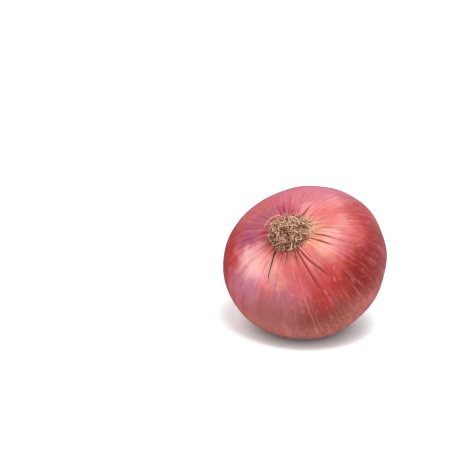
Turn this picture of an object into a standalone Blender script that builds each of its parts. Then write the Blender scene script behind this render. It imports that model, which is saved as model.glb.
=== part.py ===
"""A whole red onion, tipped over on a table so that it lies on its shoulder and its neck.

Run it with blender --background --python part.py, or from Blender's text editor. Metres, +Z up.

Each piece is modelled in growth coordinates: the widest circle lies at z = 0, the root end at -Z
and the neck at +Z. A parent empty then tips the onion over, so that in the world the root end
points up and towards -Y, and the neck points down and towards +Y. The world's origin is the middle
of the small flat spot that the bulb rests on.
"""

import math
import random

import bmesh
import bpy
from mathutils import Matrix, Vector

# Bulb
BULB_RADIUS = 0.037
ROOT_HEIGHT = 0.70 * BULB_RADIUS  # from the widest circle to the root end
SHOULDER_HEIGHT = 0.74 * BULB_RADIUS  # from the widest circle to where the shoulders would close
ROOT_FULLNESS = 2.15  # exponent of the root side, a little boxier than an ellipse
SHOULDER_BEND = 2.2  # how long the shoulders stay full
SHOULDER_POINT = 0.60  # how sharply they draw in to the neck
SIDES = 88
ROOT_RINGS = 13
SHOULDER_RINGS = 13

# Two low lobes that keep the bulb from being a perfect circle: share of radius, repeats, azimuth
LOBES = ((0.011, 2, math.radians(-8)), (0.0105, 3, math.radians(53)))

# Neck
NECK_RADIUS = 0.0052
NECK_BASE = 0.90 * SHOULDER_HEIGHT
NECK_RINGS = 10
NECK_FILLET = 0.0055  # how softly the shoulders run into the neck
NECK_FOLDS = ((0.060, 5, 0.9), (0.045, 8, -1.6), (0.030, 3, 2.2))  # share of radius, repeats, turn to the rim
NECK_BEND = (0.0011, -0.0016)  # lean of the rim, sideways and away from the table
RIM_RAGGEDNESS = 0.0008
SOCKET_RADIUS = 0.0039
SOCKET_DEPTH = 0.0055

# How the onion lies
ROOT_LIFT = math.radians(50.6)  # the root end points this far above the table
FLAT_DEPTH = 0.0005  # how much of the shoulder the table takes away
RIM_SINK = 0.0004  # how much of the neck's rim the table takes away

# Root end
DIMPLE_DEPTH = 0.0016
DIMPLE_RADIUS = 0.0080
PIT_RADIUS = 0.0080
PIT_DEPTH = 0.0022
PLATE_SINK = 0.0010  # of the plate's middle below its edge
GAP = 0.0003  # between pieces that touch

# Pleats of skin that run out from the root end, and the two deep creases among them
PLEATS = 22
PLEAT_HEIGHT = 0.00035
PLEAT_REACH = 0.0055  # they fade over this distance
CREASES = (
    # azimuth at the root end, azimuth where it runs out, depth
    (math.radians(48), math.radians(33), 0.00055),
    (math.radians(30), math.radians(23), 0.00040),
)
CREASE_WIDTH = 0.0013
CREASE_END = 0.90 * BULB_RADIUS  # distance from the onion's axis where a crease has run out

# Roots
ROOT_COUNT = 108
ROOT_RADIUS = 0.00032
ROOT_STEPS = 5
ROOT_STEP = 0.00125
ROOT_CURL = math.radians(46)
ROOT_TIP = 0.65  # radius at the tip, as a share of that at the base
MAT_RADIUS = 0.0104  # the curled roots make a low mat of this size
MAT_HEIGHT = 0.0042
ROOT_CLEARANCE = ROOT_RADIUS + PLEAT_HEIGHT + 0.0006  # from the bulb's plain surface to a root's middle
ROOT_SEED = 11
STRAY_ROOTS = (
    # azimuth at the plate, azimuth at the tip, distance of the tip from the onion's axis, and 1 for
    # a root that runs evenly outwards or more for one that bows round the mat
    (math.radians(121), math.radians(96.5), 0.61 * BULB_RADIUS, 1.0),
    (math.radians(236), math.radians(184), 0.365 * BULB_RADIUS, 3.5),
    (math.radians(334), math.radians(320), 0.37 * BULB_RADIUS, 1.5),
    (math.radians(302), math.radians(311), 0.35 * BULB_RADIUS, 1.5),
)
STRAY_STEPS = 8
STRAY_SINK = 0.0004  # how deep below the edge of the pit a stray root starts

# Dry leaf ends inside the neck
SHEATH_SIDES = 40
SHEATH_RINGS = 6
SHEATH_TOP = (
    # distance from the middle as a share of the bundle's radius, depth below its top
    (0.0, 0.0017),
    (0.20, 0.0014),
    (0.34, 0.0001),
    (0.46, 0.0000),
    (0.56, 0.0021),
    (0.68, 0.0021),
    (0.80, 0.0012),
    (0.90, 0.0013),
)
SHEATH_LOBES = 4
SHEATH_LOBE_SHARE = 0.12
SHEATH_RAGGEDNESS = 0.0007
SHEATH_LENGTH = 0.0019  # beyond the neck's rim

SKIN_COLOUR = (0.48, 0.085, 0.105, 1.0)
ROOT_COLOUR = (0.36, 0.23, 0.13, 1.0)
SHEATH_COLOUR = (0.50, 0.34, 0.20, 1.0)


def clear_scene():
    """Removes what the file opened with."""
    for obj in list(bpy.data.objects):
        bpy.data.objects.remove(obj)


def new_collection(name):
    """A collection linked to the scene."""
    collection = bpy.data.collections.new(name)
    bpy.context.scene.collection.children.link(collection)
    return collection


def plain_material(name, colour, roughness):
    """A Principled material of one colour."""
    material = bpy.data.materials.new(name)
    material.use_nodes = True
    shader = material.node_tree.nodes["Principled BSDF"]
    shader.inputs["Base Color"].default_value = colour
    shader.inputs["Roughness"].default_value = roughness
    shader.inputs["Metallic"].default_value = 0.0
    return material


def fade(value, start, end):
    """0 before start, 1 after end, and a smooth step between them."""
    share = min(1.0, max(0.0, (value - start) / (end - start)))
    return share * share * (3 - 2 * share)


def lobe_share(azimuth):
    """How the bulb's radius changes round it, as a factor."""
    return 1 + sum(share * math.cos(n * (azimuth - at)) for share, n, at in LOBES)


def shoulder_radius(z):
    """Outer radius of the neck side at height z above the widest circle."""
    closing = max(0.0, 1 - (z / SHOULDER_HEIGHT) ** SHOULDER_BEND)
    shoulder = BULB_RADIUS * closing**SHOULDER_POINT
    grown = fade(z, 0.0, SHOULDER_HEIGHT)
    neck = NECK_RADIUS * grown
    fillet = NECK_FILLET * grown * (1 - fade(z, SHOULDER_HEIGHT, SHOULDER_HEIGHT + NECK_FILLET))
    return (shoulder + neck + math.hypot(shoulder - neck, fillet)) / 2


def root_side_z(radius):
    """Height of the root side at a distance from the onion's axis, with its dimple."""
    sine = min(1.0, (radius / BULB_RADIUS) ** (ROOT_FULLNESS / 2))
    dome = -ROOT_HEIGHT * math.sqrt(1 - sine * sine) ** (2 / ROOT_FULLNESS)
    return dome + DIMPLE_DEPTH * math.exp(-((radius / DIMPLE_RADIUS) ** 2))


def floor_depth_of(y, z):
    """How far below the bulb's middle a point in growth coordinates lies, once the onion is tipped over."""
    return y * math.cos(ROOT_LIFT) + z * math.sin(ROOT_LIFT)


def resting_point():
    """The point of the shoulder that lies lowest once the onion is tipped over, in growth coordinates."""
    samples = 200
    points = []
    for k in range(samples):
        z = 0.8 * SHOULDER_HEIGHT * k / samples
        radius = shoulder_radius(z)
        for degrees in range(70, 111):
            azimuth = math.radians(degrees)
            out = radius * lobe_share(azimuth)
            points.append(Vector((out * math.cos(azimuth), out * math.sin(azimuth), z)))
    return max(points, key=lambda point: floor_depth_of(point.y, point.z))


def neck_fold(azimuth, along):
    """Share of the radius that the folds add. along is 0 at the neck's base and 1 at its rim."""
    return sum(share * math.cos(n * azimuth + turn * (1 + along)) for share, n, turn in NECK_FOLDS)


def rim_height(azimuth):
    """How far the ragged rim stands above its mean height."""
    return RIM_RAGGEDNESS * math.sin(3 * azimuth + 0.4) * math.cos(5 * azimuth)


def rim_floor_depth():
    """How far below the middle of its circle the rim's lowest point lies, once the onion is tipped over."""
    depths = []
    for degrees in range(0, 180, 2):
        azimuth = math.radians(degrees)
        y = NECK_RADIUS * (1 + neck_fold(azimuth, 1)) * math.sin(azimuth) + NECK_BEND[1]
        depths.append(floor_depth_of(y, rim_height(azimuth)))
    return max(depths)


RESTING_POINT = resting_point()
FLOOR_DEPTH = floor_depth_of(RESTING_POINT.y, RESTING_POINT.z) - FLAT_DEPTH
NECK_END = (FLOOR_DEPTH + RIM_SINK - rim_floor_depth()) / math.sin(ROOT_LIFT)
SHEATH_RADIUS = SOCKET_RADIUS - GAP
SHEATH_END = NECK_END + SHEATH_LENGTH
PIT_FLOOR = root_side_z(PIT_RADIUS) + PIT_DEPTH


def bulb_profile():
    """The outline from the middle of the neck's socket, over the rim and down to the middle of the pit."""
    socket_floor = NECK_END - SOCKET_DEPTH
    points = [(0.0, socket_floor), (SOCKET_RADIUS, socket_floor), (SOCKET_RADIUS, NECK_END)]
    neck_length = NECK_END - NECK_BASE
    for k in range(NECK_RINGS):
        z = NECK_END - neck_length * k / NECK_RINGS
        points.append((shoulder_radius(z), z))
    for k in range(SHOULDER_RINGS):
        z = NECK_BASE * math.sin(math.pi / 2 * (1 - k / SHOULDER_RINGS))
        points.append((shoulder_radius(z), z))
    pit_angle = math.asin((PIT_RADIUS / BULB_RADIUS) ** (ROOT_FULLNESS / 2))
    for k in range(ROOT_RINGS + 1):
        angle = math.pi / 2 + (pit_angle - math.pi / 2) * k / ROOT_RINGS
        radius = BULB_RADIUS * math.sin(angle) ** (2 / ROOT_FULLNESS)
        points.append((radius, root_side_z(radius)))
    points.append((PIT_RADIUS, PIT_FLOOR))
    points.append((0.0, PIT_FLOOR))
    return points


def turned_mesh(name, profile, sides):
    """A closed mesh turned about Z from a profile of (radius, z) points that runs from top to bottom."""
    outline = bpy.data.meshes.new(name + "_outline")
    edges = [(k, k + 1) for k in range(len(profile) - 1)]
    outline.from_pydata([(radius, 0.0, z) for radius, z in profile], edges, [])
    turned = bpy.data.objects.new(name + "_turned", outline)
    bpy.context.scene.collection.objects.link(turned)
    screw = turned.modifiers.new("Turn", "SCREW")
    screw.steps = sides
    screw.render_steps = sides
    screw.use_merge_vertices = True
    screw.merge_threshold = 0.00001
    mesh = evaluated_mesh(turned)
    weld(mesh)
    bpy.data.objects.remove(turned)
    return mesh


def evaluated_mesh(obj):
    """A new mesh of the object as its modifiers or its curve settings make it."""
    graph = bpy.context.evaluated_depsgraph_get()
    return bpy.data.meshes.new_from_object(obj.evaluated_get(graph))


def weld(mesh):
    """Closes the mesh where its points meet, and faces it outwards."""
    work = bmesh.new()
    work.from_mesh(mesh)
    bmesh.ops.remove_doubles(work, verts=work.verts, dist=0.000005)
    bmesh.ops.recalc_face_normals(work, faces=work.faces)
    work.to_mesh(mesh)
    work.free()


def pleat_height(azimuth, radius):
    """Height of the pleats and creases on the root side, at a distance from the onion's axis."""
    start = fade(radius, PIT_RADIUS, PIT_RADIUS + 0.0015)
    strength = start * math.exp(-max(0.0, radius - PIT_RADIUS) / PLEAT_REACH)
    unevenness = 0.72 + 0.28 * math.cos(5 * azimuth + 1.0)
    height = PLEAT_HEIGHT * strength * unevenness * math.cos(PLEATS * azimuth)
    for at_root, at_end, depth in CREASES:
        share = (radius - PIT_RADIUS) / (CREASE_END - PIT_RADIUS)
        middle = at_root + (at_end - at_root) * share
        across = radius * math.remainder(azimuth - middle, 2 * math.pi)
        along = start * (1 - fade(share, 0.55, 1.0))
        height -= depth * along * math.exp(-((across / CREASE_WIDTH) ** 2))
    return height


def bent(co):
    """A point of the neck, moved to where its bend puts it."""
    start = 0.75 * SHOULDER_HEIGHT
    share = (max(0.0, co.z - start) / (NECK_END - start)) ** 2
    return Vector((co.x + NECK_BEND[0] * share, co.y + NECK_BEND[1] * share, co.z))


def relieved(co):
    """A point of the turned bulb, moved to where the lobes, pleats and neck folds put it."""
    radius = math.hypot(co.x, co.y)
    azimuth = math.atan2(co.y, co.x)
    if radius < SOCKET_RADIUS + GAP:
        return bent(co) if co.z > 0 else co
    factor = 1 + (lobe_share(azimuth) - 1) * fade(radius, PIT_RADIUS, 2 * PIT_RADIUS)
    along = (co.z - NECK_BASE) / (NECK_END - NECK_BASE)
    factor += neck_fold(azimuth, along) * fade(co.z, 0.72 * SHOULDER_HEIGHT, SHOULDER_HEIGHT)
    z = co.z
    if z < 0:
        z -= pleat_height(azimuth, radius)
    if z > NECK_END - GAP:
        z += rim_height(azimuth)
    return bent(Vector((co.x * factor, co.y * factor, z)))


def add_piece(name, mesh, material, parent, collection):
    """An object for a finished mesh, shaded smooth and tipped over with its parent."""
    mesh.name = name
    mesh.materials.clear()
    mesh.materials.append(material)
    mesh.shade_smooth()
    mesh.set_sharp_from_angle(angle=math.radians(50))
    piece = bpy.data.objects.new(name, mesh)
    collection.objects.link(piece)
    piece.parent = parent
    return piece


def add_table_cutter(collection):
    """A block under z = 0 that gives the onion its flat spots."""
    work = bmesh.new()
    side = 4 * BULB_RADIUS
    bmesh.ops.create_cube(work, size=side, matrix=Matrix.Translation((0, 0, -side / 2)))
    mesh = bpy.data.meshes.new("table_cutter")
    work.to_mesh(mesh)
    work.free()
    cutter = bpy.data.objects.new("table_cutter", mesh)
    cutter.hide_render = True
    cutter.display_type = "WIRE"
    collection.objects.link(cutter)
    return cutter


def make_bulb(parent, collection, cutter):
    """The bulb in its tight skin, with the neck at one end and the pit for the roots at the other."""
    mesh = turned_mesh("bulb", bulb_profile(), SIDES)
    for vertex in mesh.vertices:
        vertex.co = relieved(vertex.co)
    bulb = add_piece("bulb", mesh, plain_material("skin", SKIN_COLOUR, 0.38), parent, collection)
    flats = bulb.modifiers.new("Flat spots", "BOOLEAN")
    flats.operation = "DIFFERENCE"
    flats.object = cutter
    return bulb


def tube(name, points, collection):
    """A root as a mesh object: a thin four-sided tube that tapers along its points."""
    curve = bpy.data.curves.new(name, "CURVE")
    curve.dimensions = "3D"
    curve.bevel_depth = ROOT_RADIUS
    curve.bevel_resolution = 0
    curve.use_fill_caps = True
    spline = curve.splines.new("POLY")
    spline.points.add(len(points) - 1)
    for k, point in enumerate(points):
        spline.points[k].co = (*point, 1.0)
        spline.points[k].radius = 1 + (ROOT_TIP - 1) * k / (len(points) - 1)
    drawn = bpy.data.objects.new(name, curve)
    collection.objects.link(drawn)
    mesh = evaluated_mesh(drawn)
    weld(mesh)
    bpy.data.objects.remove(drawn)
    root = bpy.data.objects.new(name, mesh)
    collection.objects.link(root)
    return root


def kept_in_mat(point):
    """The point, moved to where a root clears the bulb's skin and stays inside the low mat."""
    radius = math.hypot(point.x, point.y)
    inward = min(1.0, MAT_RADIUS / max(radius, MAT_RADIUS / 10))
    radius *= inward
    edge = root_side_z(PIT_RADIUS)
    skin = root_side_z(max(radius, PIT_RADIUS)) - ROOT_CLEARANCE
    inside = 1 - fade(radius, PIT_RADIUS - 3 * ROOT_RADIUS, PIT_RADIUS)
    nearest = skin + (edge - skin) * inside
    dome = MAT_HEIGHT * math.sqrt(max(0.0, 1 - (radius / (1.04 * MAT_RADIUS)) ** 2))
    furthest = min(edge - dome, nearest)
    return Vector((point.x * inward, point.y * inward, min(nearest, max(furthest, point.z))))


def curled_root(rng, share):
    """Points of one short root that grows from the plate, at a share of the plate's radius."""
    azimuth = rng.uniform(0, 2 * math.pi)
    start_radius = (PIT_RADIUS - GAP - 2 * ROOT_RADIUS) * share
    lean = math.radians(8 + 70 * share**3 + rng.uniform(-12, 12))
    heading = azimuth + rng.uniform(-0.8, 0.8)
    outward = math.sin(lean)
    direction = Vector((outward * math.cos(heading), outward * math.sin(heading), -math.cos(lean)))
    sunk = root_side_z(PIT_RADIUS) + PLATE_SINK * math.sqrt(1 - share * share)
    base = sunk + ROOT_RADIUS
    point = Vector((start_radius * math.cos(azimuth), start_radius * math.sin(azimuth), base))
    turn_axis = Vector((rng.uniform(-1, 1), rng.uniform(-1, 1), rng.uniform(-1.2, 1.2))).normalized()
    step = ROOT_STEP * rng.uniform(0.85, 1.2)
    points = [point]
    for _ in range(ROOT_STEPS):
        moved = kept_in_mat(point + direction * step)
        if (moved - point).length < 0.4 * step:
            break
        points.append(moved)
        bend = Matrix.Rotation(rng.uniform(0.3, 1.0) * ROOT_CURL, 3, turn_axis)
        direction = bend @ (direction + (moved - point) / step).normalized()
        point = moved
    return points


def stray_root(at_plate, at_tip, reach, bow):
    """Points of a longer root that lies along the skin."""
    start = PIT_RADIUS - GAP - 2 * ROOT_RADIUS
    base = root_side_z(PIT_RADIUS) + STRAY_SINK
    points = [Vector((start * math.cos(at_plate), start * math.sin(at_plate), base))]
    for k in range(STRAY_STEPS + 1):
        share = k / STRAY_STEPS
        radius = start + (reach - start) * (1 - (1 - share) ** bow)
        azimuth = at_plate + (at_tip - at_plate) * share
        z = root_side_z(max(radius, PIT_RADIUS)) - ROOT_CLEARANCE
        points.append(Vector((radius * math.cos(azimuth), radius * math.sin(azimuth), z)))
    return points


def plate_profile():
    """The plate that the roots grow from, from its back in the pit to the middle of its sunken face."""
    back = PIT_FLOOR - GAP
    edge = root_side_z(PIT_RADIUS)
    radius = PIT_RADIUS - GAP
    points = [(0.0, back), (radius, back)]
    rings = 4
    for k in range(rings + 1):
        angle = math.pi / 2 * k / rings
        points.append((radius * math.cos(angle), edge + PLATE_SINK * math.sin(angle)))
    return points


def keep_largest_piece(mesh):
    """Drops loose scraps, and the shells round hollows that the joined roots seal off."""
    work = bmesh.new()
    work.from_mesh(mesh)
    unseen = set(work.verts)
    pieces = []
    while unseen:
        edge_of_piece = [unseen.pop()]
        piece = list(edge_of_piece)
        while edge_of_piece:
            vertex = edge_of_piece.pop()
            for edge in vertex.link_edges:
                other = edge.other_vert(vertex)
                if other in unseen:
                    unseen.remove(other)
                    edge_of_piece.append(other)
                    piece.append(other)
        pieces.append(piece)
    pieces.sort(key=len)
    for piece in pieces[:-1]:
        bmesh.ops.delete(work, geom=piece, context="VERTS")
    work.to_mesh(mesh)
    work.free()


def make_root_tuft(parent, collection):
    """The root plate with its dry roots, joined in one solid."""
    rng = random.Random(ROOT_SEED)
    roots = new_collection("roots to join")
    for k in range(ROOT_COUNT):
        share = ((k + 0.5) / ROOT_COUNT) ** 0.42
        tube(f"root_{k}", curled_root(rng, share), roots)
    for k, stray in enumerate(STRAY_ROOTS):
        tube(f"stray_root_{k}", stray_root(*stray), roots)
    plate = bpy.data.objects.new("plate", turned_mesh("plate", plate_profile(), 32))
    collection.objects.link(plate)
    union = plate.modifiers.new("Join roots", "BOOLEAN")
    union.operation = "UNION"
    union.operand_type = "COLLECTION"
    union.collection = roots
    union.solver = "MANIFOLD"
    mesh = evaluated_mesh(plate)
    keep_largest_piece(mesh)
    for obj in [*roots.objects, plate]:
        bpy.data.objects.remove(obj)
    bpy.data.collections.remove(roots)
    return add_piece("root_tuft", mesh, plain_material("dry_root", ROOT_COLOUR, 0.85), parent, collection)


def sheath_profile():
    """The bundle of dry leaf ends: two rings of torn edges, then its side down to its foot in the socket."""
    foot = NECK_END - SOCKET_DEPTH + GAP
    points = [(share * SHEATH_RADIUS, SHEATH_END - sunk) for share, sunk in SHEATH_TOP]
    top = points[-1][1]
    for k in range(1, SHEATH_RINGS + 1):
        share = k / SHEATH_RINGS
        radius = SHEATH_RADIUS * (SHEATH_TOP[-1][0] + (1 - SHEATH_TOP[-1][0]) * fade(share, 0.0, 0.5))
        points.append((radius, top + (foot - top) * share))
    points.append((0.0, foot))
    return points


def make_neck_sheaths(parent, collection):
    """The bundle of dry leaf ends that stands out of the neck."""
    mesh = turned_mesh("neck_sheaths", sheath_profile(), SHEATH_SIDES)
    for vertex in mesh.vertices:
        co = vertex.co
        azimuth = math.atan2(co.y, co.x)
        radius = math.hypot(co.x, co.y)
        height = fade(co.z, SHEATH_END - 0.0030, SHEATH_END)
        ripple = math.cos(SHEATH_LOBES * azimuth + 0.6) - 1
        factor = 1 + SHEATH_LOBE_SHARE / 2 * ripple * (0.3 + 0.7 * height)
        tears = math.sin(5 * azimuth + 900 * radius) * math.cos(2 * azimuth) - 1
        ragged = SHEATH_RAGGEDNESS * height * tears
        vertex.co = bent(Vector((co.x * factor, co.y * factor, co.z + ragged)))
    material = plain_material("dry_sheath", SHEATH_COLOUR, 0.8)
    return add_piece("neck_sheaths", mesh, material, parent, collection)


def main():
    """Builds the onion and tips it over."""
    clear_scene()
    pieces = new_collection("red onion")
    cutters = new_collection("cutters")
    tipped = bpy.data.objects.new("tipped_over", None)
    pieces.objects.link(tipped)
    tipped.rotation_euler.x = -(math.pi / 2 + ROOT_LIFT)
    forward = RESTING_POINT.y * math.sin(ROOT_LIFT) - RESTING_POINT.z * math.cos(ROOT_LIFT)
    tipped.location = (-RESTING_POINT.x, forward, FLOOR_DEPTH)
    make_bulb(tipped, pieces, add_table_cutter(cutters))
    make_root_tuft(tipped, pieces)
    make_neck_sheaths(tipped, pieces)


main()
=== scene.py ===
"""The looks of a red onion that lies tipped over on its shoulder and its neck.

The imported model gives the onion's size and place. This script puts finer pieces over its solids:
the pleated papery skin, the mat of dry roots, and the torn leaf ends in the neck. Everything is in
metres. Shapes are worked out in growth coordinates, with the root end at -Z, the neck at +Z and the
widest circle at z = 0, and are then tipped over on to the table. An azimuth is measured round that
axis, and a latitude along the skin, from 0 at the root end to 90 degrees on the widest circle.
"""

import enum
import logging
import random
from dataclasses import dataclass
from math import asin, atan2, cos, exp, hypot, pi, radians, sin, sqrt
from typing import Any, Iterable, Mapping, Sequence, Union

import bmesh
import bpy
import numpy as np
from bmesh.types import BMEdge, BMVert, BMesh
from bpy.types import ID, Material, Mesh, NodeSocket, Object, World
from mathutils import Matrix, Vector


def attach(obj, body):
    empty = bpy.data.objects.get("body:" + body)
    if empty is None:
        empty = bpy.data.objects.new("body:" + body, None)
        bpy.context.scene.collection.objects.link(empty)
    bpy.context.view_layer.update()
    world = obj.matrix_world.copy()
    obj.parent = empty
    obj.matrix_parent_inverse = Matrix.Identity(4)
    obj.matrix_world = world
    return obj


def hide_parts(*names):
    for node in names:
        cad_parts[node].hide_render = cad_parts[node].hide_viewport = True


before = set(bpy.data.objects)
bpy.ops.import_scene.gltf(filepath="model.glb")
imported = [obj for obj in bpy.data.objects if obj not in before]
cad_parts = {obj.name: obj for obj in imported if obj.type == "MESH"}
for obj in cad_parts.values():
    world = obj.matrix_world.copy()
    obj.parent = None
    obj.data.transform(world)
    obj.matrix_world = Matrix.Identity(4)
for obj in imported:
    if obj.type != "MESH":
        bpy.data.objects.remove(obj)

LOG = logging.getLogger("red_onion")
MM = 0.001
Array = np.ndarray
FULL_TURN = 2 * pi
Colour = tuple[float, float, float, float]
Range = tuple[float, float]


def srgb(red: int, green: int, blue: int) -> Colour:
    """A linear colour for Blender.

    Args:
        red, green, blue: The colour as a screen shows it, 0 to 255.

    Returns:
        The same colour in linear values, with full alpha.
    """
    parts = (red, green, blue)
    linear = [((c / 255 + 0.055) / 1.055) ** 2.4 if c > 10 else c / 255 / 12.92 for c in parts]
    return (*linear, 1.0)


def ease(value: Array, start: float, end: float) -> Array:
    """A smooth step.

    Args:
        value: Where to read the step.
        start: The step is 0 up to here.
        end: The step is 1 from here on.

    Returns:
        The step's height at each value.
    """
    share = np.clip((np.asarray(value, dtype=float) - start) / (end - start), 0.0, 1.0)
    return share * share * (3 - 2 * share)


def polar(radius: float, azimuth: float, z: float) -> Vector:
    """A point at a distance from the axis, an azimuth in radians and a height."""
    return Vector((radius * cos(azimuth), radius * sin(azimuth), z))


def outwards(azimuth: float, latitude: float) -> Vector:
    """The way from the bulb's middle to a place on its skin, given in degrees."""
    return polar(sin(radians(latitude)), radians(azimuth), -cos(radians(latitude)))


def sideways_at(azimuth: float) -> Vector:
    """The way round the axis at an azimuth in degrees."""
    return Vector((-sin(radians(azimuth)), cos(radians(azimuth)), 0.0))


def scattered(rng: random.Random) -> Vector:
    """A random shift of up to 1 along each axis."""
    return Vector([rng.uniform(-1, 1) for _ in range(3)])


# Shape


@dataclass(frozen=True)
class BulbForm:
    """The bulb's outline and lie, with the same named sizes as the part's source.

    A lobe has its share of the radius, how often it comes round the axis, and its azimuth. A fold
    of the neck has its share, how often it comes round, and how far it is turned.
    """

    radius: float = 37 * MM
    root_height: float = 0.70 * 37 * MM
    shoulder_height: float = 0.74 * 37 * MM
    root_fullness: float = 2.15
    shoulder_bend: float = 2.2
    shoulder_point: float = 0.60
    lobes: tuple = ((0.011, 2, radians(-8)), (0.0105, 3, radians(53)))
    neck_radius: float = 5.2 * MM
    neck_fillet: float = 5.5 * MM
    neck_folds: tuple = ((0.060, 5, 0.9), (0.045, 8, -1.6), (0.030, 3, 2.2))
    neck_bend: tuple = (1.1 * MM, -1.6 * MM)
    rim_raggedness: float = 0.8 * MM
    rim_sink: float = 0.4 * MM
    root_lift: float = radians(50.6)
    flat_depth: float = 0.5 * MM
    dimple_depth: float = 1.6 * MM
    dimple_radius: float = 8.0 * MM
    pit_radius: float = 8.0 * MM
    pit_depth: float = 2.2 * MM
    socket_radius: float = 3.9 * MM
    socket_depth: float = 5.5 * MM
    gap: float = 0.3 * MM

    def lobe(self, azimuth: Array) -> Array:
        """The bulb's radius round its axis, as a factor."""
        return 1 + sum(share * np.cos(n * (azimuth - at)) for share, n, at in self.lobes)

    def shoulder_radius(self, z: Array) -> Array:
        """Works out the neck side's outline.

        Args:
            z: Heights above the widest circle.

        Returns:
            The outer radius at each height.
        """
        height, fillet = self.shoulder_height, self.neck_fillet
        closing = np.maximum(0.0, 1 - np.maximum(0.0, z / height) ** self.shoulder_bend)
        shoulder = self.radius * closing**self.shoulder_point
        grown = ease(z, 0.0, height)
        neck = self.neck_radius * grown
        closed = ease(z, height, height + fillet)
        return (shoulder + neck + np.hypot(shoulder - neck, fillet * grown * (1 - closed))) / 2

    def root_side_z(self, radius: Array) -> Array:
        """Works out the root side's outline.

        Args:
            radius: Distances from the axis.

        Returns:
            The height at each of them.
        """
        sine = np.minimum(1.0, (np.asarray(radius) / self.radius) ** (self.root_fullness / 2))
        dome = -self.root_height * np.sqrt(1 - sine * sine) ** (2 / self.root_fullness)
        return dome + self.dimple_depth * np.exp(-((radius / self.dimple_radius) ** 2))

    def skin_z(self, radius: float = 0.0) -> float:
        """Height of the root side's skin, and of the root pit's edge anywhere inside that."""
        return float(self.root_side_z(max(radius, self.pit_radius)))

    def latitude(self, radius: Array, z: Array) -> Array:
        """0 at the root end, pi / 2 on the widest circle and more on the way to the neck."""
        root_side = np.arcsin(np.minimum(1.0, (radius / self.radius) ** (self.root_fullness / 2)))
        return np.where(z <= 0, root_side, pi / 2 + np.maximum(z, 0) / self.shoulder_height)

    def depth(self, y: Array, z: Array) -> Array:
        """How far below the bulb's middle a point in growth coordinates lies."""
        return y * cos(self.root_lift) + z * sin(self.root_lift)

    def neck_fold(self, azimuth: Array, along: Array) -> Array:
        """Share of the neck's radius that its folds add."""
        folds = self.neck_folds
        return sum(share * np.cos(n * azimuth + turn * (1 + along)) for share, n, turn in folds)

    def rim_height(self, azimuth: Array) -> Array:
        """How far the ragged rim stands above its mean height."""
        return self.rim_raggedness * np.sin(3 * azimuth + 0.4) * np.cos(5 * azimuth)

    def resting_point(self) -> tuple[float, float, float]:
        """Looks for the point of the shoulder that lies lowest.

        Returns:
            The point in growth coordinates.
        """
        heights = 0.8 * self.shoulder_height * np.arange(200) / 200
        azimuth, z = np.meshgrid(np.radians(np.arange(70, 111)), heights)
        out = self.shoulder_radius(z) * self.lobe(azimuth)
        x, y = out * np.cos(azimuth), out * np.sin(azimuth)
        lowest = np.argmax(self.depth(y, z))
        return float(x.flat[lowest]), float(y.flat[lowest]), float(z.flat[lowest])

    def floor_depth(self) -> float:
        """Depth of the table below the bulb's middle."""
        _, y, z = self.resting_point()
        return float(self.depth(y, z)) - self.flat_depth

    def neck_base(self) -> float:
        """Height at which the neck begins."""
        return 0.90 * self.shoulder_height

    def neck_end(self) -> float:
        """Finds how long the neck is, with its lowest side just in the table.

        Returns:
            The height of the neck's rim.
        """
        azimuth = np.radians(np.arange(0, 180, 2))
        y = self.neck_radius * (1 + self.neck_fold(azimuth, 1)) * np.sin(azimuth)
        rim = float(np.max(self.depth(y + self.neck_bend[1], self.rim_height(azimuth))))
        return (self.floor_depth() + self.rim_sink - rim) / sin(self.root_lift)

    def bend(self, points: Array) -> Array:
        """Bends the neck.

        Args:
            points: Rows of x, y, z in growth coordinates.

        Returns:
            The same rows, moved to where the bend puts them.
        """
        start = 0.75 * self.shoulder_height
        share = (np.maximum(0.0, points[:, 2] - start) / (self.neck_end() - start)) ** 2
        moved = points.copy()
        moved[:, 0] += self.neck_bend[0] * share
        moved[:, 1] += self.neck_bend[1] * share
        return moved

    def middle(self) -> Vector:
        """Where the middle of the bulb's widest circle lies, in the frame's coordinates."""
        (x, y, z), lift = self.resting_point(), self.root_lift
        return Vector((-x, y * sin(lift) - z * cos(lift), self.floor_depth()))

    def tipped(self, points: Array) -> Array:
        """Tips points over on to the table.

        Args:
            points: Rows of x, y, z in growth coordinates.

        Returns:
            The same rows in the frame's coordinates, with none below the table.
        """
        turn = np.array(Matrix.Rotation(-(pi / 2 + self.root_lift), 3, "X"))
        placed = points @ turn.T + np.array(self.middle())
        placed[:, 2] = np.maximum(placed[:, 2], 0.0)
        return placed


# Materials


class Hue(enum.Enum):
    """The onion's colours, as they look in plain white light, except blush, which is painted
    highlight.
    """

    ROSE = (192, 88, 94)
    PINK = (200, 100, 124)
    PALE_PINK = (226, 140, 148)
    # Painted highlight: a pale blush laid on where the lamps' sheen shows.
    PAINTED_HIGHLIGHT = (238, 182, 176)
    CORAL = (214, 98, 90)
    PEACH = (238, 166, 138)
    ORANGE = (196, 84, 66)
    RED = (172, 44, 38)
    ROSE_RED = (166, 46, 56)
    CRIMSON = (146, 30, 28)
    DEEP_RED = (128, 14, 12)
    WINE = (104, 26, 42)
    PLUM = (160, 70, 104)
    MAGENTA = (186, 60, 100)
    LILAC = (184, 106, 126)
    GREY_PLUM = (146, 88, 100)
    DUSTY = (158, 88, 86)
    BROWN_RED = (140, 54, 46)
    TAN = (192, 134, 107)
    PALE_TAN = (242, 206, 174)
    ROOT_BROWN = (132, 82, 62)
    RUST = (92, 46, 34)
    DARK_BROWN = (38, 18, 12)

    @property
    def linear(self) -> Colour:
        """The colour in Blender's linear values."""
        return srgb(*self.value)


Socket = Union["Value", Hue, Vector, float, tuple]


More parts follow.
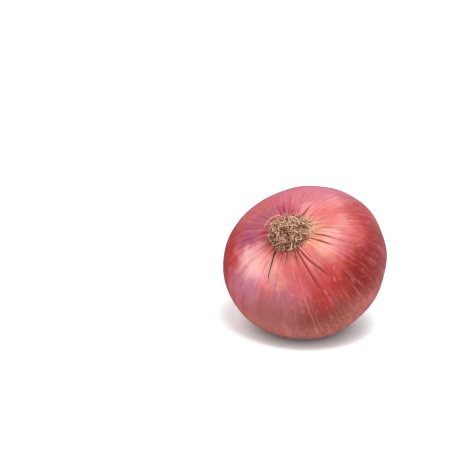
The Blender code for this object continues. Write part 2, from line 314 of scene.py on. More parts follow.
class Value:
    """A socket of a shader, with the arithmetic that the finishes use."""

    def __init__(self, graph: "Graph", socket: NodeSocket) -> None:
        """Wraps a socket of the graph."""
        self.graph, self.socket = graph, socket

    def _math(self, operation: str, first: Socket, second: Socket) -> "Value":
        """Adds a Math node."""
        return self.graph.node("ShaderNodeMath", {"operation": operation}, {0: first, 1: second})

    def __add__(self, other: Socket) -> "Value":
        """self + other"""
        return self._math("ADD", self, other)

    __radd__ = __add__

    def __sub__(self, other: Socket) -> "Value":
        """self - other"""
        return self._math("SUBTRACT", self, other)

    def __rsub__(self, other: Socket) -> "Value":
        """other - self"""
        return self._math("SUBTRACT", other, self)

    def __mul__(self, other: Socket) -> "Value":
        """self * other"""
        return self._math("MULTIPLY", self, other)

    __rmul__ = __mul__

    def size(self) -> "Value":
        """The value without its sign."""
        return self._math("ABSOLUTE", self, 0.0)

    def dot(self, other: Socket) -> "Value":
        """How far a vector runs along another."""
        return self.graph.vector("DOT_PRODUCT", self, other, 1)

    def step(self, start: float, end: float) -> "Value":
        """A smooth step.

        Args:
            start: The step is 0 up to here.
            end: The step is 1 from here on. It may be the smaller of the two.

        Returns:
            The step, 0 to 1.
        """
        low, high = min(start, end), max(start, end)
        inputs = {"Value": self, "From Min": low, "From Max": high}
        settings = {"interpolation_type": "SMOOTHSTEP"}
        rising = self.graph.node("ShaderNodeMapRange", settings, inputs)
        return rising if start < end else 1 - rising


class Graph:
    """The nodes of a material, or of the surroundings."""

    def __init__(
        self, owner: Material | World, shader: str = "Principled BSDF"
    ) -> None:
        """Starts the nodes.

        Args:
            owner: What they belong to.
            shader: The shader that they feed.
        """
        owner.use_nodes = True
        self.owner = owner
        self.tree = owner.node_tree
        self.shader = self.tree.nodes[shader]

    def node(
        self,
        kind: str,
        settings: Mapping[str, Any],
        inputs: Mapping[Union[int, str], Socket],
        output: Union[int, str] = 0,
    ) -> Value:
        """Adds a node.

        Args:
            kind: The node's type.
            settings: Its own properties.
            inputs: Values or links of its sockets, by name or place.
            output: Which of its outputs to hand on.

        Returns:
            That output.
        """
        made = self.tree.nodes.new(kind)
        for name, setting in settings.items():
            setattr(made, name, setting)
        for name, value in inputs.items():
            if isinstance(value, Value):
                self.tree.links.new(value.socket, made.inputs[name])
            else:
                plain_value = value.linear if isinstance(value, Hue) else value
                made.inputs[name].default_value = plain_value
        return Value(self, made.outputs[output])

    def attribute(self, name: str, output: str = "Fac") -> Value:
        """An attribute of the piece."""
        return self.node("ShaderNodeAttribute", {"attribute_name": name}, {}, output)

    def coordinates(self, kind: str = "Object") -> Value:
        """The coordinates of the place that is shaded."""
        return self.node("ShaderNodeTexCoord", {}, {}, kind)

    def noise(
        self, at: Value, scale: float, detail: float = 2.0, rough: float = 0.5, output: str = "Fac"
    ) -> Value:
        """Soft noise, mostly between 0.3 and 0.7."""
        inputs = {"Vector": at, "Scale": scale, "Detail": detail, "Roughness": rough}
        return self.node("ShaderNodeTexNoise", {}, inputs, output)

    def stretched(
        self, at: Value, scales: tuple, detail: float, rough: float, output: str = "Fac"
    ) -> Value:
        """Noise with a scale of its own along each axis."""
        return self.noise(self.vector("MULTIPLY", at, scales), 1.0, detail, rough, output)

    def cells(self, at: Value, scale: float, output: str) -> Value:
        """A pattern of cells, read as the distance from their middles or as their colours."""
        inputs = {"Vector": at, "Scale": scale, "Randomness": 1.0}
        return self.node("ShaderNodeTexVoronoi", {}, inputs, output)

    def vector(self, operation: str, first: Socket, second: Socket, output: int = 0) -> Value:
        """Adds a Vector Math node."""
        settings = {"operation": operation}
        return self.node("ShaderNodeVectorMath", settings, {0: first, 1: second}, output)

    def mix(self, share: Socket, first: Socket, second: Socket) -> Value:
        """Mixes as much of the second colour into the first as the share says."""
        settings = {"data_type": "RGBA", "clamp_factor": True}
        return self.node("ShaderNodeMix", settings, {0: share, 6: first, 7: second}, 2)

    def layered(self, colour: Socket, layers: Iterable[tuple[Socket, Socket]]) -> Socket:
        """Lays colours over each other.

        Args:
            colour: The lowest colour.
            layers: Share and colour of each layer on it, from the lowest one up.

        Returns:
            The colour that shows.
        """
        for share, top in layers:
            colour = self.mix(share, colour, top)
        return colour

    def finish(
        self,
        varying: Mapping[str, Value],
        fixed: Mapping[str, Any],
        height: Value | None = None,
        relief: float = 0.0,
    ) -> Material | World:
        """Wires the shader.

        Args:
            varying: Links of the shader's sockets.
            fixed: Values that are the same all over.
            height: A relief for the light alone, 0 to 1.
            relief: How high that relief stands, in metres.

        Returns:
            The finished material or surroundings.
        """
        if height is not None:
            inputs = {"Strength": 1.0, "Distance": relief, "Height": height}
            varying = {**varying, "Normal": self.node("ShaderNodeBump", {}, inputs)}
        for name, value in varying.items():
            self.tree.links.new(value.socket, self.shader.inputs[name])
        for name, value in fixed.items():
            self.shader.inputs[name].default_value = value
        return self.owner


@dataclass(frozen=True)
class Tint:
    """A soft patch of another colour on the skin; a few are painted highlights and painted shade.
    Angles are in degrees.

    Attributes:
        hue: Its colour.
        azimuth, latitude: Where its middle is.
        spread: How far it reaches.
        strength: How much of it shows in its middle.
    """

    hue: Hue
    azimuth: float
    latitude: float
    spread: float
    strength: float

    def share(self, heading: Value) -> Value:
        """How much of it shows at a heading, 0 to 1."""
        closeness = heading.dot(outwards(self.azimuth, self.latitude))
        return closeness.step(cos(radians(1.25 * self.spread)), 1.0) * self.strength


@dataclass(frozen=True)
class Vein:
    """A thin line in the skin that runs towards the neck. Angles are in degrees.

    Attributes:
        azimuth: Where it is round the axis.
        start, end: The latitudes between which it shows.
        width: Half its width, as a share of the bulb's radius.
        strength: How much of it shows.
    """

    azimuth: float
    start: float
    end: float
    width: float
    strength: float

    def share(self, heading: Value, along: Value, waver: Value) -> Value:
        """Draws the vein.

        Args:
            heading: The way from the bulb's middle.
            along: The latitude, as a share of a half turn.
            waver: How far the line strays from its course.

        Returns:
            How much of it shows.
        """
        off = (heading.dot(sideways_at(self.azimuth)) + waver).size()
        line = off.step(self.width, 0.0) * self.strength
        line = line * along.step((self.start - 6) / 180, (self.start + 6) / 180)
        return line * along.step((self.end + 6) / 180, (self.end - 10) / 180)


@dataclass(frozen=True)
class Scratch:
    """A short pale scuff in the skin, such as a fibre leaves that was stuck to it.

    Attributes:
        azimuth, latitude: Where its middle is, in degrees.
        turn: Which way it runs, in degrees from straight round the axis.
        length: Half its length, as a share of the bulb's radius.
        bow: How much it is curved.
        width: Half its width, as a share of the bulb's radius.
    """

    azimuth: float
    latitude: float
    turn: float
    length: float
    bow: float
    width: float = 0.0045

    def share(self, heading: Value, waver: Value) -> Value:
        """Draws the scuff.

        Args:
            heading: The way from the bulb's middle.
            waver: How far the line strays from its course.

        Returns:
            How much of it shows.
        """
        middle, turn = outwards(self.azimuth, self.latitude), radians(self.turn)
        side = sideways_at(self.azimuth)
        run = side * cos(turn) + middle.cross(side) * sin(turn)
        off = heading.graph.vector("SUBTRACT", heading, middle)
        along, across = off.dot(run), off.dot(middle.cross(run))
        line = (across + along * along * self.bow + waver * 0.5).size().step(self.width, 0.0)
        near = heading.dot(middle).step(0.9, 0.95)
        return line * along.size().step(self.length, 0.5 * self.length) * near * 0.6


@dataclass(frozen=True)
class Side:
    """A soft-edged part of the skin that faces one way.

    Attributes:
        way: The way it faces, in growth coordinates.
        start, end: How nearly a place faces that way where the part begins, and where it is full.
    """

    way: tuple[float, float, float]
    start: float
    end: float

    def share(self, heading: Value) -> Value:
        """How far a place belongs to it, 0 to 1."""
        return heading.dot(self.way).step(self.start, self.end)


@dataclass(frozen=True)
class SkinFinish:
    """The tight papery skin: red layers that show through each other, with fine veins along it, and
    some painted highlights and shade.
    """

    tints: tuple[Tint, ...] = (
        Tint(Hue.PINK, 254, 42, 48, 0.95), Tint(Hue.PALE_PINK, 284, 42, 25, 0.80),
        # The blush patches at azimuths 291, 303 and 337, and the pale pink one at 336, are painted
        # highlights on the upper right.
        Tint(Hue.ROSE, 258, 28, 15, 0.45), Tint(Hue.PAINTED_HIGHLIGHT, 291, 23, 9, 0.45),
        Tint(Hue.PALE_PINK, 304, 40, 18, 0.85), Tint(Hue.PINK, 274, 60, 26, 0.75),
        Tint(Hue.PAINTED_HIGHLIGHT, 303, 42, 12, 0.35), Tint(Hue.CORAL, 328, 34, 24, 0.80),
        Tint(Hue.PALE_PINK, 336, 33, 13, 0.85), Tint(Hue.PAINTED_HIGHLIGHT, 337, 32, 12, 0.95),
        Tint(Hue.ROSE_RED, 322, 62, 25, 0.90), Tint(Hue.CORAL, 4, 42, 26, 0.80),
        Tint(Hue.CORAL, 318, 24, 12, 0.80), Tint(Hue.PINK, 357, 38, 11, 0.50),
        Tint(Hue.PEACH, 345, 17, 11, 0.65), Tint(Hue.PEACH, 14, 22, 13, 0.60),
        Tint(Hue.PEACH, 38, 20, 10, 0.60), Tint(Hue.ORANGE, 206, 40, 15, 0.75),
        Tint(Hue.LILAC, 187, 43, 12, 0.65), Tint(Hue.ROSE, 190, 60, 26, 0.80),
        Tint(Hue.RED, 162, 60, 26, 0.92), Tint(Hue.PLUM, 170, 27, 14, 0.75),
        Tint(Hue.GREY_PLUM, 213, 25, 11, 0.70), Tint(Hue.MAGENTA, 228, 19, 9, 0.80),
        # The pale pink patch at azimuth 130 and the blush one at 128 are a painted highlight on the
        # left.
        Tint(Hue.PALE_PINK, 130, 35, 18, 0.90), Tint(Hue.PLUM, 161, 29, 10, 0.50),
        Tint(Hue.PAINTED_HIGHLIGHT, 128, 33, 13, 0.75), Tint(Hue.LILAC, 121, 54, 17, 1.00),
        Tint(Hue.PALE_PINK, 90, 32, 14, 0.75), Tint(Hue.PEACH, 84, 35, 11, 0.55),
        Tint(Hue.LILAC, 79, 47, 12, 1.00), Tint(Hue.CORAL, 99, 46, 9, 0.50),
        Tint(Hue.PEACH, 104, 22, 10, 0.35), Tint(Hue.DUSTY, 84, 80, 36, 0.85),
        Tint(Hue.ROSE, 48, 37, 20, 0.85), Tint(Hue.CORAL, 45, 24, 10, 0.60),
        Tint(Hue.BROWN_RED, 46, 78, 28, 0.90), Tint(Hue.RED, 26, 54, 20, 0.85),
        Tint(Hue.DEEP_RED, 8, 67, 22, 0.95), Tint(Hue.DEEP_RED, 348, 78, 26, 0.75),
        # The wine patch at azimuth 186 is painted shade that darkens the left edge.
        Tint(Hue.WINE, 186, 68, 14, 0.50), Tint(Hue.DUSTY, 230, 95, 40, 0.60),
        Tint(Hue.WINE, 20, 128, 26, 0.50), Tint(Hue.RED, 250, 130, 30, 0.70),
        Tint(Hue.ORANGE, 120, 128, 26, 0.50), Tint(Hue.WINE, 0, 180, 40, 0.75),
    )
    pale_veins: tuple[Vein, ...] = (
        Vein(59.5, 36, 97, 0.0075, 0.30), Vein(57.0, 58, 98, 0.0050, 0.24),
        Vein(43.0, 66, 99, 0.0060, 0.26), Vein(36.5, 74, 96, 0.0045, 0.16),
        Vein(30.0, 62, 80, 0.0045, 0.16), Vein(21.5, 70, 92, 0.0050, 0.16),
        Vein(72.5, 76, 98, 0.0065, 0.16), Vein(81.0, 72, 100, 0.0080, 0.13),
        Vein(104.0, 66, 84, 0.0055, 0.10), Vein(167.5, 18, 44, 0.0080, 0.30),
        Vein(176.0, 17, 42, 0.0080, 0.30), Vein(275.0, 18, 56, 0.0060, 0.24),
        Vein(291.0, 18, 60, 0.0070, 0.26), Vein(300.0, 17, 56, 0.0060, 0.26),
        Vein(312.0, 18, 50, 0.0070, 0.26), Vein(9.0, 17, 52, 0.0070, 0.30),
        Vein(0.0, 17, 56, 0.0060, 0.28), Vein(351.0, 18, 50, 0.0070, 0.28),
    )
    dark_veins_and_painted_shadow: tuple[Vein, ...] = (
        Vein(14.0, 24, 48, 0.0050, 0.35), Vein(5.0, 22, 58, 0.0045, 0.35),
        Vein(357.0, 24, 52, 0.0050, 0.40), Vein(346.0, 26, 60, 0.0045, 0.30),
        Vein(317.5, 16, 30, 0.0110, 0.80), Vein(309.0, 22, 60, 0.0050, 0.30),
        Vein(297.0, 20, 50, 0.0045, 0.30), Vein(171.0, 17, 46, 0.0130, 0.62),
        Vein(163.5, 18, 52, 0.0110, 0.55), Vein(156.0, 20, 44, 0.0080, 0.42),
        Vein(180.0, 17, 40, 0.0120, 0.52), Vein(189.0, 18, 34, 0.0080, 0.40),
        Vein(236.0, 15, 30, 0.0100, 0.40), Vein(248.0, 15, 36, 0.0070, 0.35),
        Vein(268.0, 16, 44, 0.0055, 0.32), Vein(283.0, 18, 52, 0.0060, 0.32),
        # The last two are broad: a painted shadow band on the skin just below the root mat.
        Vein(74.0, 12, 22, 0.0500, 0.60), Vein(57.0, 14, 26, 0.0340, 0.75),
    )
    scratches: tuple[Scratch, ...] = (
        Scratch(29, 49, 70, 0.045, 1.6), Scratch(42, 53, 100, 0.040, -2.5),
        Scratch(22, 42, 35, 0.030, 2.0), Scratch(70, 47, 160, 0.035, 3.0),
        Scratch(350, 52, 120, 0.035, 2.0), Scratch(245, 48, 60, 0.040, 2.0),
    )
    right: Side = Side((0.94, -0.34, 0.0), 0.15, 0.65)
    low_left: Side = Side((-0.30, 0.80, -0.52), 0.55, 0.90)
    upper: Side = Side((0.30, -0.90, 0.0), 0.15, 0.50)
    # Painted shade: the side of the root end that lies below the roots.
    shade_below_roots: Side = Side((-0.6, 0.8, 0.0), -0.06, 0.20)
    underside: Side = Side((0.42, 0.91, 0.0), 0.25, 0.80)
    roughness: float = 0.20
    vein_relief: float = 0.11 * MM

    def material(self) -> Material:
        """Makes the skin's material, which reads the attributes that PaperySkin stores.

        Returns:
            The material.
        """
        graph = Graph(bpy.data.materials.new("papery_skin"))
        growth = graph.attribute("growth", "Vector")
        heading = graph.attribute("heading", "Vector")
        pleat, torn, dryness = (graph.attribute(name) for name in ("pleat", "torn", "dryness"))
        broad = graph.stretched(growth, (9.0, 9.0, 3.0), 4.0, 0.6)
        streak = graph.stretched(growth, (26.0, 26.0, 3.2), 4.0, 0.6)
        fine = graph.stretched(growth, (64.0, 64.0, 7.0), 3.0, 0.65)
        cloud = graph.stretched(growth, (10.0, 10.0, 9.0), 5.0, 0.65)
        blotch = graph.stretched(growth, (27.0, 27.0, 30.0), 4.0, 0.7)
        grain = graph.noise(heading, 120.0, 3.0, 0.7)
        along = graph.node("ShaderNodeSeparateXYZ", {}, {0: growth}, "Z")
        streaky = self.streakiness(heading, along)
        waver = (cloud - 0.5) * 0.03 + (fine - 0.5) * 0.006
        pale, dark = (
            sum(vein.share(heading, along, waver) for vein in veins) * (fine * 0.8 + 0.6)
            for veins in (self.pale_veins, self.dark_veins_and_painted_shadow)
        )
        # Painted shade: a crimson ring round the root end, on the side below the roots.
        painted_root_shade = along.step(0.125, 0.085) * self.shade_below_roots.share(heading)
        dried = (dryness * 1.5 + (streak - 0.5) * 1.6 - 0.35).step(0.0, 0.6)
        dry_hue = graph.mix(fine.step(0.36, 0.64), Hue.TAN, Hue.ROOT_BROWN)
        low = along.step(0.40, 0.50) * along.step(0.64, 0.54) * self.underside.share(heading)
        layers = [
            (broad.step(0.50, 0.74) * 0.34, Hue.RED),
            (broad.step(0.48, 0.28) * 0.26, Hue.LILAC),
            (cloud.step(0.52, 0.72) * 0.34, Hue.BROWN_RED),
            (cloud.step(0.46, 0.26) * 0.34, Hue.PALE_PINK),
            (blotch.step(0.54, 0.72) * 0.24, Hue.WINE),
            (blotch.step(0.44, 0.28) * 0.20, Hue.PEACH),
            (streak.step(0.52, 0.76) * (streaky * 0.36), Hue.DEEP_RED),
            (streak.step(0.46, 0.26) * cloud.step(0.35, 0.6) * (streaky * 0.36), Hue.PEACH),
            (fine.step(0.52, 0.78) * streaky * 0.34, Hue.WINE),
            (fine.step(0.46, 0.24) * broad.step(0.62, 0.40) * streaky * 0.34, Hue.PEACH),
            (pale, Hue.PEACH),
            # Dark veins, with the painted shadow band below the roots among them.
            (dark, Hue.WINE),
            # The pleats' valleys in deeper red: partly the skin's own colour, partly painted shade
            # in the folds.
            (pleat.step(-0.05, -1.1) * 0.80, Hue.CRIMSON),
            (pleat.step(0.15, 1.3) * 0.62, Hue.PEACH),
            # Painted shade below the roots.
            (painted_root_shade * 0.50, Hue.CRIMSON),
            (torn * 0.36, Hue.GREY_PLUM),
            (grain.step(0.60, 0.80) * 0.16, Hue.PEACH),
            (grain.step(0.40, 0.22) * 0.18, Hue.BROWN_RED),
            (self.specks(heading), Hue.DARK_BROWN),
            *((scratch.share(heading, waver), Hue.PALE_TAN) for scratch in self.scratches),
            (dried * dryness.step(0.0, 0.15) * 0.9, dry_hue),
            (low * blotch.step(0.40, 0.60) * 0.40, Hue.TAN),
        ]
        colour = graph.layered(self.patches(heading, growth), layers)
        roughness = cloud * 0.16 + fine * 0.08 + dryness * 0.25 + torn * 0.12 + self.roughness
        roughness = roughness + pleat.step(0.0, -0.8) * 0.25
        height = streak * 0.35 + fine * 0.35 + grain * 0.15 + cloud * 0.15
        return graph.finish(
            {"Base Color": colour, "Roughness": roughness},
            {"Coat Weight": 0.04, "Coat Roughness": 0.2, "Specular IOR Level": 0.24},
            height,
            self.vein_relief,
        )

    def streakiness(self, heading: Value, along: Value) -> Value:
        """Works out where the skin is streaked most: near the roots, on its right and its top.

        Args:
            heading: The way from the bulb's middle.
            along: The latitude, as a share of a half turn.

        Returns:
            How strong the streaks are.
        """
        near_ends = along.step(0.30, 0.12) + along.step(0.46, 0.62)
        streaky = near_ends * 0.60 + self.right.share(heading) * 0.40 + 0.34
        streaky = streaky * (self.low_left.share(heading) * -0.72 + 1.0)
        return streaky + self.upper.share(heading) * 0.22

    def patches(self, heading: Value, growth: Value) -> Socket:
        """Lays the skin's large areas of colour, among them painted highlights and shade, with
        cloudy edges that run out along it.

        Args:
            heading: The way from the bulb's middle.
            growth: Where a place is round the axis and along it.

        Returns:
            Their colour.
        """
        graph = heading.graph
        clouds = graph.noise(heading, 3.0, 4.0, 0.6, "Color")
        combed = graph.stretched(growth, (17.0, 17.0, 3.0), 4.0, 0.6, "Color")
        moved = heading
        for noise, reach in ((clouds, 0.5), (combed, 0.15)):
            shift = graph.vector("SUBTRACT", noise, (0.5, 0.5, 0.5))
            moved = graph.vector("ADD", moved, graph.vector("MULTIPLY", shift, (reach,) * 3))
        moved = graph.vector("NORMALIZE", moved, (0.0, 0.0, 0.0))
        return graph.layered(Hue.ROSE, ((tint.share(moved), tint.hue) for tint in self.tints))

    def specks(self, heading: Value) -> Value:
        """Scatters a few tiny dark marks.

        Args:
            heading: The way from the bulb's middle.

        Returns:
            How much of them shows.
        """
        outputs = ("Distance", "Color")
        spot, which = (heading.graph.cells(heading, 7.0, output) for output in outputs)
        return spot.step(0.075, 0.035) * which.step(0.62, 0.66) * 0.6


@dataclass(frozen=True)
class FibreFinish:
    """Dry plant fibre: roots, the plate under them, or leaf ends."""

    name: str
    dark: Hue
    middle: Hue
    pale: Hue
    roughness: float
    relief: float = 0.08 * MM

    def material(self) -> Material:
        """Makes the fibre's material, which reads the attributes tone and along.

        Returns:
            The material.
        """
        graph = Graph(bpy.data.materials.new(self.name))
        point = graph.coordinates()
        tone, along = graph.attribute("tone"), graph.attribute("along")
        blotch = graph.noise(point, 900.0, 3.0, 0.6)
        grain = graph.noise(point, 5200.0, 2.0, 0.6)
        share = tone + (blotch - 0.5) * 0.9 + (along - 0.5) * 0.25
        layers = [
            (share.step(-0.75, 0.0), self.dark),
            (share.step(0.0, 0.5), self.middle),
            (share.step(0.5, 1.0), self.pale),
            (grain.step(0.45, 0.25) * 0.45, self.dark),
        ]
        return graph.finish(
            {"Base Color": graph.layered(Hue.DARK_BROWN, layers)},
            {"Roughness": self.roughness, "Specular IOR Level": 0.3},
            grain * 0.6 + blotch * 0.4,
            self.relief,
        )


# Pieces


def add_piece(
    name: str,
    mesh: Mesh,
    material: Material,
    stands_for: Sequence[str] = (),
) -> Object:
    """Adds a finished mesh to the onion.

    Args:
        name: The piece's name.
        mesh: Its mesh, in the frame's coordinates.
        material: Its finish.
        stands_for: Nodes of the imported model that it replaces.

    Returns:
        The piece.
    """
    mesh.name = name
    mesh.materials.clear()
    mesh.materials.append(material)
    piece = linked(name, mesh)
    for node in stands_for:
        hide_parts(node)
    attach(piece, "root")
    return piece


def linked(name: str, data: ID) -> Object:
    """Puts an object into the scene.

    Args:
        name: Its name.
        data: Its mesh, light or camera.

    Returns:
        The object.
    """
    made = bpy.data.objects.new(name, data)
    bpy.context.scene.collection.objects.link(made)
    return made


def mesh_of(work: BMesh, name: str) -> Mesh:
    """Turns a finished bmesh into a mesh.

    Args:
        work: The bmesh, which is freed.
        name: The mesh's name.

    Returns:
        The mesh, shaded smooth.
    """
    mesh = bpy.data.meshes.new(name)
    work.to_mesh(mesh)
    work.free()
    mesh.shade_smooth()
    return mesh


def rows_of(items: Any, name: str) -> Array:
    """Reads one vector of each item of a mesh.

    Args:
        items: The mesh's points, or their normals.
        name: Which vector to read.

    Returns:
        A row for each item.
    """
    flat = np.empty(len(items) * 3, dtype=np.float32)
    items.foreach_get(name, flat)
    return flat.reshape(-1, 3).astype(float)


def coordinates(mesh: Mesh) -> Array:
    """The mesh's points, as rows."""
    return rows_of(mesh.vertices, "co")


def set_coordinates(mesh: Mesh, points: Array) -> None:
    """Moves the mesh's points to the rows given."""
    mesh.vertices.foreach_set("co", np.ascontiguousarray(points, dtype=np.float32).ravel())
    mesh.update()


def store(mesh: Mesh, **layers: Array) -> None:
    """Keeps attributes of the mesh's points.

    Args:
        mesh: The mesh.
        layers: A number, or a row of three, for each point, by the attribute's name.
    """
    for name, values in layers.items():
        kind, key = ("FLOAT", "value") if values.ndim == 1 else ("FLOAT_VECTOR", "vector")
        layer = mesh.attributes.new(name, kind, "POINT")
        layer.data.foreach_set(key, np.ascontiguousarray(values, dtype=np.float32).ravel())


def turned(name: str, profile: Iterable[tuple[float, float]], sides: int) -> Mesh:
    """Spins an outline about the growth axis.

    Args:
        name: The mesh's name.
        profile: Points of (radius, z), from one end of the axis to the other.
        sides: How many steps the spin has.

    Returns:
        A closed mesh that faces outwards.
    """
    work = bmesh.new()
    points = [work.verts.new((radius, 0.0, z)) for radius, z in profile]
    edges = [work.edges.new(pair) for pair in zip(points, points[1:])]
    spin = {"axis": (0, 0, 1), "cent": (0, 0, 0), "steps": sides, "angle": FULL_TURN}
    bmesh.ops.spin(work, geom=points + edges, use_merge=True, **spin)
    bmesh.ops.remove_doubles(work, verts=work.verts, dist=0.002 * MM)
    bmesh.ops.recalc_face_normals(work, faces=work.faces)
    return mesh_of(work, name)


@dataclass(frozen=True)
class Crease:
    """A valley in the skin that runs out from the root end.

    Attributes:
        start_azimuth, end_azimuth: Where it leaves the root end and where it runs out, in radians.
        start, end: Distances from the axis where it begins and where it has run out.
        depth: How deep it is.
        width: Half its width at the root end.
        widening: How much wider it is where it runs out, as a factor.
        ridge: How high the fold beside it stands, as a share of its depth.
    """

    start_azimuth: float
    end_azimuth: float
    start: float
    end: float
    depth: float
    width: float
    widening: float
    ridge: float = 0.0

    def height(self, azimuth: Array, radius: Array) -> Array:
        """Works out how far the skin stands out because of it.

        Args:
            azimuth, radius: Where the skin's points are, in radians and metres.

        Returns:
            Their heights: below 0 in the valley, above 0 on the fold beside it.
        """
        share = np.clip((radius - self.start) / (self.end - self.start), 0.0, 1.0)
        middle = self.start_azimuth + (self.end_azimuth - self.start_azimuth) * share
        away = (azimuth - middle + pi) % FULL_TURN - pi
        width = self.width * (1 + (self.widening - 1) * share)
        off = away * radius / width
        shape = self.ridge * np.exp(-((off + 1.8) ** 2)) - np.exp(-(off**2))
        return self.depth * (1 - ease(share, 0.35, 1.0)) * shape


@dataclass
class PaperySkin:
    """The bulb in its skin, with pleats round the root end and folds in the neck.

    A deep crease has its first and last azimuth in degrees and its reach as a share of the bulb's
    radius. Its other numbers are a Crease's depth, width, widening and ridge.
    """

    form: BulbForm
    sides: int = 540
    root_rings: int = 78
    shoulder_rings: int = 58
    neck_rings: int = 30
    seed: int = 5
    pleats: int = 104
    pleat_start: float = 7.6 * MM
    pleat_unit: float = 0.24 * MM
    ridge_reach: float = 6 * MM
    deep_creases: tuple = (
        (49, 43, 0.98, 0.48 * MM, 0.36 * MM, 2.0, 0.55),
        (45, 27, 0.86, 0.42 * MM, 0.38 * MM, 1.8, 0.60),
    )
    neck_pleats: int = 38
    neck_pleat_start: float = 3.0 * MM
    swell: float = 0.055 * MM
    collar_lift: float = 0.10 * MM
    collar_reach: float = 5 * MM
    layer_step: float = 0.12 * MM
    torn_azimuths: Range = (205.0, 231.0)
    torn_reach: float = 0.60
    rim_wall: float = 0.45 * MM
    rim_reach: float = 2.5 * MM
    notches: int = 42
    notch_depth: float = 0.9 * MM
    dry_neck: Range = (9.0 * MM, 0.5 * MM)
    dry_edge: float = 0.8 * MM
    tolerance: float = 0.02 * MM

    def profile(self) -> list[tuple[float, float]]:
        """Works out the outline.

        Returns:
            Its points, from the middle of the neck's socket to the middle of the root pit.
        """
        form = self.form
        end, base = form.neck_end(), form.neck_base()
        floor = end - form.socket_depth
        points = [(0.0, floor), (0.5 * form.socket_radius, floor)]
        widening = form.neck_radius - self.rim_wall - form.socket_radius
        for share in (k / 10 for k in range(11)):
            radius = form.socket_radius + widening * share**3
            points.append((radius, floor + (end - floor) * share))
        heights = [end + (base - end) * k / self.neck_rings for k in range(self.neck_rings)]
        rings = self.shoulder_rings
        heights += [base * sin(pi / 2 * (1 - k / rings)) for k in range(rings)]
        points += [(float(form.shoulder_radius(np.array(z))), z) for z in heights]
        start = asin((form.pit_radius / form.radius) ** (form.root_fullness / 2))
        for k in range(self.root_rings + 1):
            angle = start + (pi / 2 - start) * (1 - k / self.root_rings) ** 1.25
            radius = form.radius * sin(angle) ** (2 / form.root_fullness)
            points.append((radius, float(form.root_side_z(radius))))
        pit = form.skin_z() + form.pit_depth
        return points + [(form.pit_radius, pit), (0.6 * form.pit_radius, pit), (0.0, pit)]

    def root_pleats(self, rng: random.Random) -> list[Crease]:
        """Places the two deep creases and the fine pleats round the root end.

        Args:
            rng: Where the pleats' chances come from.

        Returns:
            All of them.
        """
        placed, full = [], self.form.radius
        for start, end, reach, *sizes in self.deep_creases:
            angles = radians(start), radians(end)
            placed.append(Crease(*angles, self.pleat_start, reach * full, *sizes))
        for k in range(self.pleats):
            azimuth = FULL_TURN * (k + rng.uniform(-0.38, 0.38)) / self.pleats
            bold = rng.random() ** 2
            reach = full * (0.30 + 0.15 * rng.random() + 0.30 * rng.random() ** 3)
            placed.append(
                Crease(
                    start_azimuth=azimuth,
                    end_azimuth=azimuth + rng.uniform(-0.08, 0.08),
                    start=self.pleat_start,
                    end=reach,
                    depth=(0.07 + 0.20 * bold) * MM,
                    width=(0.12 + 0.16 * bold) * MM,
                    widening=rng.uniform(1.3, 2.6),
                    ridge=rng.uniform(0.1, 0.5),
                )
            )
        return placed

    def neck_gathers(self, rng: random.Random) -> list[Crease]:
        """Places the folds in which the skin is gathered towards the neck.

        Args:
            rng: Where their chances come from.

        Returns:
            The folds.
        """
        placed = []
        for k in range(self.neck_pleats):
            azimuth = FULL_TURN * (k + rng.uniform(-0.4, 0.4)) / self.neck_pleats
            placed.append(
                Crease(
                    start_azimuth=azimuth,
                    end_azimuth=azimuth + rng.uniform(-0.25, 0.25),
                    start=self.neck_pleat_start,
                    end=self.form.radius * rng.uniform(0.35, 0.85),
                    depth=rng.uniform(0.10, 0.30) * MM,
                    width=rng.uniform(0.18, 0.38) * MM,
                    widening=rng.uniform(2.5, 5.0),
                )
            )
        return placed

    def swelling(self, azimuth: Array, latitude: Array) -> Array:
        """Works out the low, long ripples where the scales inside press out.

        Args:
            azimuth, latitude: Where the skin's points are, in radians.

        Returns:
            Their heights.
        """
        ripple = np.zeros_like(azimuth)
        rng = random.Random(self.seed + 1)
        for waves in range(6, 15):
            phase, lean, rise = rng.uniform(0, 6.28), rng.uniform(-0.6, 0.6), rng.uniform(0.6, 1.4)
            fade = 0.6 + 0.4 * np.sin(rise * latitude * 2 + phase)
            ripple += np.cos(waves * azimuth + phase + lean * latitude) * fade
        return self.swell * ripple * ease(latitude, 0.2, 0.6)

    def torn_layer(self, azimuth: Array, radius: Array) -> Array:
        """Works out where the outer layer is gone above the roots.

        Args:
            azimuth, radius: Where the skin's points are, in radians and metres.

        Returns:
            How far it is gone, 0 to 1.
        """
        first, last = self.torn_azimuths
        share = radius / self.form.radius
        left = np.radians(first + 26 * (share - 0.36) / 0.2 * 0.5)
        left = left + 0.05 * np.sin(38 * share) + 0.03 * np.sin(90 * share)
        right = np.radians(last) + 0.04 * np.sin(55 * share + 1)
        end = self.torn_reach + 0.03 * np.sin(23 * azimuth) + 0.02 * np.sin(61 * azimuth + 2)
        inside = ease((azimuth - left) * radius, 0.0, 0.35 * MM)
        inside = inside * ease((right - azimuth) * radius, 0.0, 4.0 * MM)
        return inside * ease(end - share, 0.0, 0.02 + 0.10 * (azimuth > np.radians(216)))

    def rim(self, azimuth: Array) -> Array:
        """Works out the ragged, notched rim of the neck.

        Args:
            azimuth: Where the skin's points are round the axis, in radians.

        Returns:
            How far the rim stands above its mean height there.
        """
        first = self.seed + 2
        notches = [random.Random(first + k).random() for k in range(self.notches)]
        places = np.linspace(0, FULL_TURN, self.notches + 1)
        depth = np.interp(azimuth, places, [*notches, notches[0]])
        return self.form.rim_height(azimuth) - self.notch_depth * depth**2

